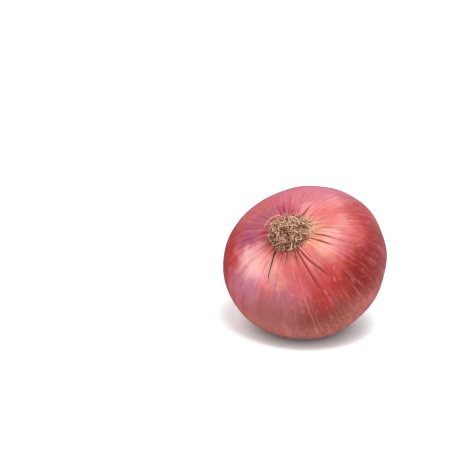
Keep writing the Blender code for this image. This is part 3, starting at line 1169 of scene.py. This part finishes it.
    def build(self) -> list[Object]:
        """Makes the skin.

        Returns:
            The piece, which replaces the bulb's plain solid.
        """
        form = self.form
        base_z, end_z, full = form.neck_base(), form.neck_end(), form.shoulder_height
        mesh = turned("papery_skin", self.profile(), self.sides)
        normals, base = rows_of(mesh.vertex_normals, "vector"), coordinates(mesh)
        radius, z = np.hypot(base[:, 0], base[:, 1]), base[:, 2]
        azimuth = np.arctan2(base[:, 1], base[:, 0]) % FULL_TURN
        latitude = form.latitude(radius, z)
        inner = np.where(z > 0, form.shoulder_radius(z), form.pit_radius)
        outside = (radius > inner - self.tolerance).astype(float)
        root_side = (z < 0) * outside

        rng = random.Random(self.seed)
        valleys, gathers = (
            sum(crease.height(azimuth, radius) for crease in creases)
            for creases in (self.root_pleats(rng), self.neck_gathers(rng))
        )
        valleys = valleys * root_side
        gathers = gathers * outside * ease(z, 0.25 * full, 0.9 * full)
        past_pit = radius - form.pit_radius
        collar = self.collar_lift * root_side * np.exp(-past_pit / self.collar_reach)
        torn = self.torn_layer(azimuth, radius) * root_side
        swelling = self.swelling(azimuth, latitude) * outside
        height = valleys + gathers + collar + swelling - self.layer_step * torn
        moved = base + normals * height[:, None]

        factor = 1 + (form.lobe(azimuth) - 1) * ease(radius, form.pit_radius, 2 * form.pit_radius)
        folds = form.neck_fold(azimuth, (z - base_z) / (end_z - base_z))
        folds = folds * ease(z, 0.72 * full, full)
        factor = factor + folds * ease(radius, 0.6 * form.socket_radius, form.socket_radius)
        moved[:, :2] *= factor[:, None]
        rim = ease(z, end_z - self.rim_reach, end_z) * self.rim(azimuth)
        moved[:, 2] += rim * (radius > 0.6 * form.socket_radius)
        set_coordinates(mesh, form.tipped(form.bend(moved)))

        cosine, sine, down = np.cos(azimuth), np.sin(azimuth), np.minimum(latitude, pi * 0.98)
        out = np.sin(down)
        depth = (valleys + gathers) / self.pleat_unit
        near = np.exp(-np.maximum(0, past_pit) / self.ridge_reach) * root_side
        ridges = np.clip(1 + 2.2 * depth, 0, 1.7) * near
        first, last = self.dry_neck
        dry_neck = ease(z, end_z - first, end_z - last)
        dry_pit = (z < 0) * (1 - ease(radius, form.pit_radius, form.pit_radius + self.dry_edge))
        store(
            mesh,
            growth=np.stack([cosine, sine, latitude / pi], axis=1),
            heading=np.stack([out * cosine, out * sine, -np.cos(down)], axis=1),
            pleat=np.where(depth < -0.12, depth, ridges),
            torn=torn,
            dryness=np.maximum(dry_neck, dry_pit * 0.7),
        )
        return [add_piece("papery_skin", mesh, SkinFinish().material(), ["bulb"])]


class Strands:
    """Thin tapered tubes along given paths, gathered in one mesh."""

    def __init__(self, sides: int, steps: int) -> None:
        """Makes the straight tube that every strand is bent from.

        Args:
            sides: How many sides a strand has.
            steps: How many lengths a strand is divided into.
        """
        self.steps = steps
        work = bmesh.new()
        size = {"segments": sides, "radius1": 1.0, "radius2": 1.0, "depth": 1.0}
        middle = Matrix.Translation((0, 0, 0.5))
        bmesh.ops.create_cone(work, cap_ends=True, matrix=middle, **size)
        for _ in range(steps - 1):
            top = max(work.faces, key=lambda face: face.calc_center_median().z)
            grown = bmesh.ops.extrude_face_region(work, geom=[top])["geom"]
            rising = [part for part in grown if isinstance(part, BMVert)]
            bmesh.ops.translate(work, verts=rising, vec=(0, 0, 1))
            if top.is_valid:
                bmesh.ops.delete(work, geom=[top], context="FACES_ONLY")
        bmesh.ops.recalc_face_normals(work, faces=work.faces)
        self.straight = mesh_of(work, "straight_strand")
        rest = coordinates(self.straight)
        self.ring = np.rint(rest[:, 2]).astype(int)
        self.turn = np.arctan2(rest[:, 1], rest[:, 0])
        self.gathered = bmesh.new()
        self.points: list[Array] = []
        self.tones: list[Array] = []

    def add(
        self, path: Sequence[Vector], radii: Sequence[float], tone: float, flatness: float
    ) -> None:
        """Adds a strand.

        Args:
            path: Its middle line, with one point more than a strand has steps.
            radii: Its radius at each of those points.
            tone: How pale it is, 0 to 1.
            flatness: How much it is squeezed flat, 0 to 1.
        """
        middles = np.array([tuple(point) for point in path])
        ways = np.gradient(middles, axis=0)
        ways /= np.maximum(np.linalg.norm(ways, axis=1), 1e-9)[:, None]
        side = np.cross(ways[0], (0.3, 0.5, 0.8))
        sides, ups = [], []
        for way in ways:
            side = side - way * side.dot(way)
            side = side / max(np.linalg.norm(side), 1e-9)
            sides.append(side)
            ups.append(np.cross(way, side))
        reach = np.array(radii)[self.ring][:, None]
        across = np.cos(self.turn)[:, None] * np.array(sides)[self.ring] * (1 + flatness)
        upward = np.sin(self.turn)[:, None] * np.array(ups)[self.ring] * (1 - flatness)
        self.points.append(middles[self.ring] + reach * (across + upward))
        self.tones.append(np.stack([np.full(len(self.ring), tone), self.ring / self.steps], axis=1))
        self.gathered.from_mesh(self.straight)

    def mesh(self, name: str, form: BulbForm) -> Mesh:
        """Gathers the strands.

        Args:
            name: The mesh's name.
            form: The bulb that they grow on, which tips them over.

        Returns:
            One mesh of all of them, with the attributes tone and along.
        """
        mesh = mesh_of(self.gathered, name)
        set_coordinates(mesh, form.tipped(np.concatenate(self.points)))
        tones = np.concatenate(self.tones)
        store(mesh, tone=tones[:, 0], along=tones[:, 1])
        return mesh


@dataclass(frozen=True)
class Stray:
    """A long root that lies along the skin.

    Attributes:
        plate_azimuth, tip_azimuth: Where it leaves the plate and where its tip is, in degrees.
        reach: Distance of its tip from the axis, as a share of the bulb's radius.
        bow: 1 for an even run outwards, more for one that bows round the mat.
        thickness: Its radius.
        tone: How pale it is, 0 to 1.
        lift: How far it stands off the skin in its middle.
    """

    plate_azimuth: float
    tip_azimuth: float
    reach: float
    bow: float
    thickness: float
    tone: float
    lift: float = 0.4 * MM


@dataclass(frozen=True)
class RootKind:
    """One kind of root in the mat. Each range is picked from at random.

    Attributes:
        name: The name of the piece that holds its roots.
        count: How many there are.
        steps: How many lengths one is divided into.
        thickness: Its radius.
        step: The length of a division.
        curl: How much it turns at each division, in degrees.
        starts: How far from the plate's middle it grows, as a share of the plate.
        lean: How far it leans from the onion's axis, in degrees.
        looseness: How far the mat gives way for it, as a factor of its size.
        tone: How pale it is, 0 to 1.
        flatness: How much it has shrivelled flat.
        lies: How flat it lies in the mat, 0 to 1.
        sideways: How far it may turn from straight outwards, in radians.
        azimuths: Where it may grow round the onion's axis, in degrees.
        run: Which way it runs, in degrees round the axis, unless it runs out from its foot.
    """

    name: str
    count: int
    steps: int
    thickness: Range
    step: Range
    curl: Range
    starts: Range
    lean: Range
    looseness: Range
    tone: Range
    flatness: float
    lies: float
    sideways: float = pi
    azimuths: Range = (0.0, 360.0)
    run: Range | None = None


@dataclass
class RootTuft:
    """The low mat of dry roots, and the plate that they grow from.

    A hollow of the mat has its place across the axis, and its size.
    """

    form: BulbForm
    seed: int = 23
    mat_radius: float = 10.0 * MM
    mat_height: float = 4.3 * MM
    plate_sink: float = 1.0 * MM
    skin_clearance: float = 0.25 * MM
    stray_clearance: float = 0.15 * MM
    foot_depth: float = 0.3 * MM
    stray_steps: int = 14
    wobble: float = 0.14
    axis_drift: float = 0.2
    # Roots high in the mat are paler and those deep in it darker: partly dirt, partly painted
    # shade.
    paler_outside: float = 0.95
    paler_far: float = 0.14
    plate_sides: int = 96
    plate_relief: float = 0.10 * MM
    plate_tone: float = 0.12
    hollows: tuple = (
        (-2.3 * MM, -0.4 * MM, 1.5 * MM),
        (3.6 * MM, -2.4 * MM, 1.7 * MM),
        (0.2 * MM, 1.6 * MM, 1.7 * MM),
    )
    hollow_depth: float = 0.80
    kinds: tuple[RootKind, ...] = (
        RootKind(
            name="matted_roots", count=500, steps=9,
            thickness=(0.12 * MM, 0.25 * MM), step=(0.40 * MM, 0.64 * MM), curl=(2, 13),
            starts=(0.0, 0.95), lean=(58, 98), looseness=(0.50, 1.06),
            tone=(-0.05, 0.85), flatness=0.48, lies=0.85,
        ),
        RootKind(
            name="long_roots", count=84, steps=13,
            thickness=(0.12 * MM, 0.21 * MM), step=(0.42 * MM, 0.62 * MM), curl=(2, 9),
            starts=(0.1, 0.95), lean=(72, 92), looseness=(0.92, 1.06),
            tone=(0.45, 1.05), flatness=0.45, lies=0.90, azimuths=(150, 335), run=(-40, 25),
        ),
        RootKind(
            name="curled_roots", count=100, steps=10,
            thickness=(0.10 * MM, 0.18 * MM), step=(0.32 * MM, 0.46 * MM), curl=(16, 36),
            starts=(0.2, 1.0), lean=(30, 95), looseness=(0.75, 1.05),
            tone=(0.20, 0.9), flatness=0.15, lies=0.6,
        ),
        RootKind(
            name="fringe_roots", count=200, steps=7,
            thickness=(0.12 * MM, 0.22 * MM), step=(0.34 * MM, 0.52 * MM), curl=(2, 10),
            starts=(0.90, 1.0), lean=(66, 98), sideways=0.45, looseness=(1.00, 1.17),
            tone=(0.45, 1.1), flatness=0.30, lies=0.1, azimuths=(-40, 205),
        ),
        RootKind(
            name="root_fibres", count=150, steps=10,
            thickness=(0.05 * MM, 0.09 * MM), step=(0.40 * MM, 0.70 * MM), curl=(6, 26),
            starts=(0.3, 1.0), lean=(50, 98), sideways=1.6, looseness=(0.90, 1.12),
            tone=(0.50, 1.0), flatness=0.0, lies=0.7,
        ),
    )
    strays: tuple[Stray, ...] = (
        Stray(108, 95.0, 0.61, 1.0, 0.30 * MM, -0.90),
        Stray(236, 184, 0.350, 3.5, 0.13 * MM, 0.95),
        Stray(230, 192, 0.335, 2.8, 0.10 * MM, 0.80),
        Stray(205, 226, 0.33, 2.0, 0.12 * MM, 0.6),
        Stray(66, 58, 0.34, 1.3, 0.16 * MM, 0.35),
        Stray(150, 139, 0.33, 1.4, 0.14 * MM, 0.5),
    )
    wisps: int = 60
    wisp_azimuths: Range = (294.0, 350.0)
    wisp_reach: Range = (0.265, 0.365)
    wisp_thickness: Range = (0.06 * MM, 0.15 * MM)

    def lump(self, x: float, y: float) -> float:
        """Works out the mat's bumps and hollows.

        Args:
            x, y: A place across the axis.

        Returns:
            The mat's height there, as a factor.
        """
        bumps = 1 + 0.12 * sin(x / MM * 0.9 + 1.3) * sin(y / MM * 1.1)
        bumps += 0.06 * sin(y / MM * 2.3 + x / MM)
        for at_x, at_y, size in self.hollows:
            off = (x - at_x) ** 2 + (y - at_y) ** 2
            bumps -= self.hollow_depth * exp(-off / size**2)
        return max(0.12, bumps)

    def kept_in_mat(self, point: Vector, thickness: float, looseness: float) -> Vector:
        """Keeps a root clear of the skin and inside the low mat.

        Args:
            point: Where the root would go.
            thickness: Its radius.
            looseness: How far the mat gives way for it, as a factor of its size.

        Returns:
            The nearest place that suits it.
        """
        pit, edge = self.form.pit_radius, self.form.skin_z()
        radius = hypot(point.x, point.y)
        limit = self.mat_radius * max(0.9, looseness)
        inward = min(1.0, limit / max(radius, 1e-6))
        radius *= inward
        skin = self.form.skin_z(radius) - thickness - self.skin_clearance
        share = min(1.0, radius / pit)
        floor = edge + self.plate_sink * sqrt(max(0.0, 1 - share * share))
        inside = 1 - float(ease(np.array(radius), pit - 3 * thickness, pit))
        nearest = skin + (floor - skin) * inside
        dome = sqrt(max(0.0, 1 - (radius / (1.05 * limit)) ** 2))
        dome = self.mat_height * looseness * dome
        furthest = min(edge - dome * self.lump(point.x, point.y), nearest)
        z = min(nearest, max(furthest, point.z))
        return Vector((point.x * inward, point.y * inward, z))

    def path(self, kind: RootKind, rng: random.Random, thickness: float) -> list[Vector]:
        """Lets one root of the mat grow.

        Args:
            kind: What kind it is.
            rng: Where its chances come from.
            thickness: Its radius.

        Returns:
            Its points, in growth coordinates.
        """
        form = self.form
        low, high = kind.starts
        share = sqrt(rng.uniform(low * low, high * high))
        azimuth = radians(rng.uniform(*kind.azimuths))
        start = (form.pit_radius - form.gap - 1.5 * thickness) * share
        step = rng.uniform(*kind.step)
        lean = radians(rng.uniform(*kind.lean))
        heading = azimuth + rng.uniform(-1, 1) * kind.sideways
        if kind.run:
            heading = radians(rng.uniform(*kind.run))
        way = polar(sin(lean), heading, -cos(lean))
        base = form.skin_z() + self.plate_sink * sqrt(1 - share * share)
        base -= self.mat_height * kind.lies * rng.random()
        point = polar(start, azimuth, base + self.foot_depth)
        tumble = 1 - kind.lies
        tilt = [rng.uniform(-1, 1) * tumble for _ in range(2)]
        axis = Vector((*tilt, rng.choice((-1, 1)))).normalized()
        curl = radians(rng.uniform(*kind.curl))
        looseness = rng.uniform(*kind.looseness)
        path = [point]
        for _ in range(kind.steps):
            wobble = scattered(rng) * self.wobble
            moved = self.kept_in_mat(point + (way + wobble) * step, thickness, looseness)
            if (moved - point).length < 0.3 * step:
                moved = point + way * 0.3 * step
            path.append(moved)
            turn = Matrix.Rotation(curl * rng.uniform(0.5, 1.3), 3, axis)
            way = turn @ (way + (moved - point) / step).normalized()
            axis = (axis + scattered(rng) * self.axis_drift).normalized()
            point = moved
        return path

    def stray_path(self, stray: Stray) -> list[Vector]:
        """Lays a stray root along the skin.

        Args:
            stray: The root.

        Returns:
            Its points, in growth coordinates.
        """
        form = self.form
        start = form.pit_radius - form.gap - 2 * stray.thickness
        leaves, ends = radians(stray.plate_azimuth), radians(stray.tip_azimuth)
        path = [polar(start, leaves, form.skin_z() + self.foot_depth)]
        for k in range(self.stray_steps):
            share = k / (self.stray_steps - 1)
            run = 1 - (1 - share) ** stray.bow
            radius = start + (stray.reach * form.radius - start) * run
            waver = 0.03 * sin(7 * share + stray.plate_azimuth) * share
            azimuth = leaves + (ends - leaves) * share + waver
            hump = stray.lift * sin(pi * share) ** 0.5
            z = form.skin_z(radius) - stray.thickness - self.stray_clearance - hump
            path.append(polar(radius, azimuth, z))
        return path

    def tapered(self, thickness: float, rng: random.Random, points: int) -> list[float]:
        """Works out how thick a shrivelled root is from its base to its tip.

        Args:
            thickness: Its radius at its base.
            rng: Where its unevenness comes from.
            points: How many points its path has.

        Returns:
            Its radius at each of them.
        """
        shares = (k / (points - 1) for k in range(points))
        radii = [thickness * (1 - 0.42 * share**2) * rng.uniform(0.80, 1.16) for share in shares]
        radii[-1] *= 0.5
        return radii

    def plate(self) -> Object:
        """Makes the plate in its pit.

        Returns:
            The piece, which replaces the plain solid together with the roots.
        """
        form, edge = self.form, self.form.skin_z()
        back = edge + form.pit_depth - form.gap
        radius = form.pit_radius - form.gap
        profile = [(0.0, back), (radius, back)]
        for angle in (pi / 2 * k / 14 for k in range(15)):
            profile.append((radius * cos(angle), edge + self.plate_sink * sin(angle)))
        mesh = turned("root_plate", profile, self.plate_sides)
        points = coordinates(mesh)
        azimuth = np.arctan2(points[:, 1], points[:, 0])
        out = np.hypot(points[:, 0], points[:, 1])
        ridge = np.sin(9 * azimuth + 1200 * out) + np.sin(14 * azimuth - 900 * out + 2)
        face = points[:, 2] < back - 0.5 * MM
        points[:, 2] += self.plate_relief * ridge * face * ease(radius - out, 0, 1 * MM)
        set_coordinates(mesh, form.tipped(points))
        tone, along = np.full(len(points), self.plate_tone), np.full(len(points), 0.2)
        store(mesh, tone=tone, along=along)
        finish = FibreFinish("root_plate", Hue.DARK_BROWN, Hue.ROOT_BROWN, Hue.TAN, 0.9)
        return add_piece("root_plate", mesh, finish.material(), ["root_tuft"])

    def wisp(self, rng: random.Random) -> Stray:
        """Makes up one of the thin pale roots that lie over the skin in a bunch.

        Args:
            rng: Where its chances come from.

        Returns:
            The root.
        """
        azimuth = rng.uniform(*self.wisp_azimuths)
        reach = rng.uniform(*self.wisp_reach)
        thickness = rng.uniform(*self.wisp_thickness)
        tip, bow = azimuth + rng.uniform(-22, 22), rng.uniform(1.0, 1.8)
        tone, lift = rng.uniform(0.75, 1.2), rng.uniform(0.2, 1.1) * MM
        return Stray(azimuth, tip, reach, bow, thickness, tone, lift)

    def build(self) -> list[Object]:
        """Makes the tuft.

        Returns:
            The plate, each kind of root in the mat, and the stray roots.
        """
        rng = random.Random(self.seed)
        finish = FibreFinish("dry_root", Hue.RUST, Hue.TAN, Hue.PALE_TAN, 0.75).material()
        bundles = {}
        edge = self.form.skin_z()
        for kind in self.kinds:
            strands = bundles[kind.name] = Strands(6 if kind.flatness else 4, kind.steps)
            for _ in range(kind.count):
                thickness = rng.uniform(*kind.thickness)
                path = self.path(kind, rng, thickness)
                height = sum(edge - point.z for point in path[2:]) / (len(path) - 2)
                height /= self.mat_height
                far = -sum(point.y for point in path) / len(path) / self.mat_radius
                # Deeper in the mat a root is darker: partly dirt, partly painted shade.
                tone = rng.uniform(*kind.tone) + self.paler_outside * (height - 0.45)
                tone += self.paler_far * far
                radii = self.tapered(thickness, rng, len(path))
                strands.add(path, radii, tone, rng.uniform(0.5, 1) * kind.flatness)
        strands = bundles["stray_roots"] = Strands(6, self.stray_steps)
        for stray in [*self.strays, *(self.wisp(rng) for _ in range(self.wisps))]:
            path = self.stray_path(stray)
            strands.add(path, self.tapered(stray.thickness, rng, len(path)), stray.tone, 0.1)
        return [self.plate()] + [
            add_piece(name, strands.mesh(name, self.form), finish)
            for name, strands in bundles.items()
        ]


@dataclass(frozen=True)
class Sheath:
    """One rolled leaf end in the neck.

    Attributes:
        radius: Its radius in the socket.
        length: How far it stands beyond the neck's rim.
        torn: How deep its edge is torn.
        lobes: How many times it is folded in round the axis.
        turn: Where its folds begin, in radians.
        tone: How pale it is, 0 to 1.
    """

    radius: float
    length: float
    torn: float
    lobes: int
    turn: float
    tone: float

    def uneven(self, which: int, count: int) -> list[float]:
        """Random heights round the leaf end, 0 to 1."""
        rng = random.Random(1000 * self.lobes + int(self.turn * 100) + which)
        return [rng.random() for _ in range(count)]


def read_round(heights: Sequence[float], azimuth: float) -> float:
    """Reads heights that are spaced evenly round the axis.

    Args:
        heights: The heights.
        azimuth: Where to read them, in radians.

    Returns:
        The height there, between its two neighbours.
    """
    place = (azimuth / FULL_TURN % 1.0) * len(heights)
    first, share = int(place) % len(heights), place % 1.0
    return heights[first] * (1 - share) + heights[(first + 1) % len(heights)] * share


@dataclass
class NeckSheaths:
    """The dry leaf ends that stand out of the skin's neck."""

    form: BulbForm
    wall: float = 0.16 * MM
    rings: int = 26
    sides: int = 120
    sheaths: tuple[Sheath, ...] = (
        Sheath(3.45 * MM, 0.7 * MM, 1.3 * MM, 4, 0.3, 0.60),
        Sheath(2.70 * MM, 1.4 * MM, 1.5 * MM, 3, 1.4, 0.75),
        Sheath(1.85 * MM, 1.9 * MM, 1.6 * MM, 3, 2.6, 0.65),
        Sheath(1.05 * MM, 1.6 * MM, 1.1 * MM, 2, 0.9, 0.45),
    )

    def leaf(self, sheath: Sheath) -> BMesh:
        """Makes one open tube of dry leaf.

        Args:
            sheath: Its sizes.

        Returns:
            The tube, straight up in growth coordinates.
        """
        form = self.form
        foot = form.neck_end() - form.socket_depth + form.gap + 0.1 * MM
        top = form.neck_end() + sheath.length
        work = bmesh.new()
        placed = {"radius": sheath.radius, "matrix": Matrix.Translation((0, 0, foot))}
        bmesh.ops.create_circle(work, cap_ends=False, segments=self.sides, **placed)
        rim = list(work.edges)
        for _ in range(self.rings):
            grown = bmesh.ops.extrude_edge_only(work, edges=rim)["geom"]
            rim = [part for part in grown if isinstance(part, BMEdge)]
            rising = [part for part in grown if isinstance(part, BMVert)]
            bmesh.ops.translate(work, verts=rising, vec=(0, 0, (top - foot) / self.rings))
        tears, crumple = sheath.uneven(0, 26), sheath.uneven(1, 11)
        for vertex in work.verts:
            azimuth = atan2(vertex.co.y, vertex.co.x)
            share = (vertex.co.z - foot) / (top - foot)
            swirl = azimuth + 0.8 * share
            pinch = 0.5 - 0.5 * cos(sheath.lobes * swirl + sheath.turn)
            creased = 0.022 * sin(13 * swirl + 5 * share)
            creased += 0.014 * sin(29 * azimuth - 9 * share)
            open_end = 0.30 * (read_round(crumple, swirl) - 0.55) * max(0.0, share - 0.4)
            factor = 1 - 0.20 * pinch * share - 0.06 * pinch + creased * share + open_end
            tear = read_round(tears, azimuth) ** 2 + 0.08 * sin(31 * azimuth + sheath.turn)
            vertex.co.x *= factor
            vertex.co.y *= factor
            vertex.co.z -= 1.3 * sheath.torn * tear * max(0.0, share - 0.5) / 0.5
        bmesh.ops.recalc_face_normals(work, faces=work.faces)
        bmesh.ops.solidify(work, geom=list(work.faces), thickness=self.wall)
        return work

    def build(self) -> list[Object]:
        """Makes the leaf ends.

        Returns:
            The piece, which replaces their plain solid.
        """
        joined, tones = bmesh.new(), []
        for sheath in self.sheaths:
            part = mesh_of(self.leaf(sheath), "leaf_end")
            joined.from_mesh(part)
            height = coordinates(part)[:, 2]
            share = (height - height.min()) / (height.max() - height.min())
            tones.append(np.stack([sheath.tone - 0.5 * (1 - share), share], axis=1))
        mesh = mesh_of(joined, "neck_leaf_ends")
        set_coordinates(mesh, self.form.tipped(self.form.bend(coordinates(mesh))))
        values = np.concatenate(tones)
        store(mesh, tone=values[:, 0], along=values[:, 1])
        finish = FibreFinish("dry_leaf_end", Hue.BROWN_RED, Hue.TAN, Hue.PALE_TAN, 0.7).material()
        return [add_piece("neck_leaf_ends", mesh, finish, ["neck_sheaths"])]


# Studio


@dataclass(frozen=True)
class SoftBox:
    """A soft light that faces the onion.

    Attributes:
        name: Its name.
        azimuth: Where it stands round the onion, in degrees from the front towards +X.
        elevation: How high it stands, in degrees.
        distance: How far from the onion's middle.
        width, height: Its size.
        power: Its power in watts.
        shadows: Whether it casts shadows.
    """

    name: str
    azimuth: float
    elevation: float
    distance: float
    width: float
    height: float
    power: float
    shadows: bool = True


def away(azimuth: float, elevation: float) -> Vector:
    """The way from the onion to a viewer at these degrees."""
    around, up = radians(azimuth), radians(elevation)
    return Vector((sin(around) * cos(up), -cos(around) * cos(up), sin(up)))


def facing(way: Vector) -> Any:
    """The turn of a light or camera that faces along a way."""
    return way.to_track_quat("-Z", "Y").to_euler()


@dataclass
class Studio:
    """The pale floor with its painted glow and painted contact shadow, the soft lights and the
    camera.

    The picture's width and the onion's place right of its middle and above it are in pixels.
    """

    form: BulbForm
    azimuth: float = 25.75
    elevation: float = 22.0
    distance: float = 0.95
    picture: float = 450.0
    pixels_per_metre: float = 2220.0
    onion_at: tuple[float, float] = (80.5, -35.8)
    sensor: float = 36.0
    floor_size: float = 6.0
    # The floor's glow is painted light; between the two distances below, from the onion's middle
    # outwards, its painted shadow fades out.
    floor_glow: float = 0.34
    painted_shadow_reach: Range = (12 * MM, 33 * MM)
    bright_side: tuple[float, float, float] = (0.56, 0.27, 0.78)
    sky_turn: Range = (-0.7, 0.9)
    sky_glow: Range = (0.12, 0.72)
    lights: tuple[SoftBox, ...] = (
        SoftBox("overhead_softbox", 45, 72, 2.0, 0.78, 0.66, 28.0),
        SoftBox("left_softbox", -49, 12, 1.6, 0.24, 0.28, 5.4, shadows=False),
    )

    def add_camera(self) -> None:
        """Sets the camera to the photograph's angle and framing."""
        middle = self.form.middle()
        back = away(self.azimuth, self.elevation)
        right = Vector((cos(radians(self.azimuth)), sin(radians(self.azimuth)), 0))
        up = back.cross(right)
        across, above = self.onion_at
        target = middle - (right * across + up * above) / self.pixels_per_metre
        data = bpy.data.cameras.new("camera")
        data.sensor_width = self.sensor
        data.lens = self.sensor * self.distance / (self.picture / self.pixels_per_metre)
        camera = linked("camera", data)
        camera.location = middle + back * self.distance
        camera.rotation_euler = facing(target - (middle + back * self.distance))
        bpy.context.scene.camera = camera

    def add_light(self, box: SoftBox) -> None:
        """Adds a soft light that faces the onion's middle.

        Args:
            box: The light.
        """
        data = bpy.data.lights.new(box.name, "AREA")
        data.shape = "RECTANGLE"
        data.size, data.size_y = box.width, box.height
        data.energy = box.power
        data.use_shadow = box.shadows
        way = away(box.azimuth, box.elevation)
        light = linked(box.name, data)
        light.location = self.form.middle() + way * box.distance
        light.rotation_euler = facing(-way)

    def add_floor(self) -> None:
        """Adds the pale floor, which glows a little as painted light, and near the onion is painted
        grey without glow as a shadow.
        """
        work = bmesh.new()
        bmesh.ops.create_grid(work, x_segments=1, y_segments=1, size=self.floor_size / 2)
        mesh = mesh_of(work, "floor")
        graph = Graph(bpy.data.materials.new("pale_floor"))
        haze = graph.noise(graph.coordinates(), 2.0)
        # The pale colour's faint blue-green offsets the pink light that the onion throws on the
        # floor.
        pale = graph.mix(haze, srgb(229, 238, 237), srgb(233, 241, 240))
        middle = self.form.middle()
        off = graph.vector("DISTANCE", graph.coordinates(), (middle.x, middle.y, 0.0), 1)
        outside_painted_shadow = off.step(*self.painted_shadow_reach)
        # Painted shadow: near the onion the floor is grey and doesn't glow.
        varying = {
            "Base Color": graph.mix(outside_painted_shadow, srgb(136, 141, 141), pale),
            "Emission Color": graph.mix(outside_painted_shadow, srgb(0, 0, 0), srgb(255, 255, 255)),
        }
        fixed = {"Roughness": 0.7, "Specular IOR Level": 0.2, "Emission Strength": self.floor_glow}
        mesh.materials.append(graph.finish(varying, fixed))
        floor = linked("floor", mesh)
        floor.visible_glossy = False

    def add_sky(self) -> None:
        """Gives the scene white surroundings that are brighter overhead and on the right."""
        graph = Graph(bpy.data.worlds.new("studio_white"), "Background")
        toward = graph.coordinates("Generated").dot(self.bright_side)
        inputs = {"Value": toward, "From Min": self.sky_turn[0], "From Max": self.sky_turn[1]}
        inputs |= {"To Min": self.sky_glow[0], "To Max": self.sky_glow[1]}
        settings = {"interpolation_type": "SMOOTHSTEP"}
        glow = graph.node("ShaderNodeMapRange", settings, inputs)
        bpy.context.scene.world = graph.finish({"Strength": glow}, {"Color": (1.0, 1.0, 1.0, 1.0)})

    def build(self) -> None:
        """Makes the studio."""
        self.add_sky()
        view = bpy.context.scene.view_settings
        view.view_transform = "Standard"
        view.look = "None"
        self.add_floor()
        for box in self.lights:
            self.add_light(box)
        self.add_camera()


def main() -> None:
    """Builds the onion's looks and the studio, and logs each piece's triangle count."""
    logging.basicConfig(level=logging.INFO, format="%(name)s %(message)s")
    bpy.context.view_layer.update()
    form = BulbForm()
    for maker in (PaperySkin(form), RootTuft(form), NeckSheaths(form)):
        for piece in maker.build():
            piece.data.calc_loop_triangles()
            LOG.info("%s: %d triangles", piece.name, len(piece.data.loop_triangles))
    Studio(form).build()


if __name__ == "__main__":
    main()
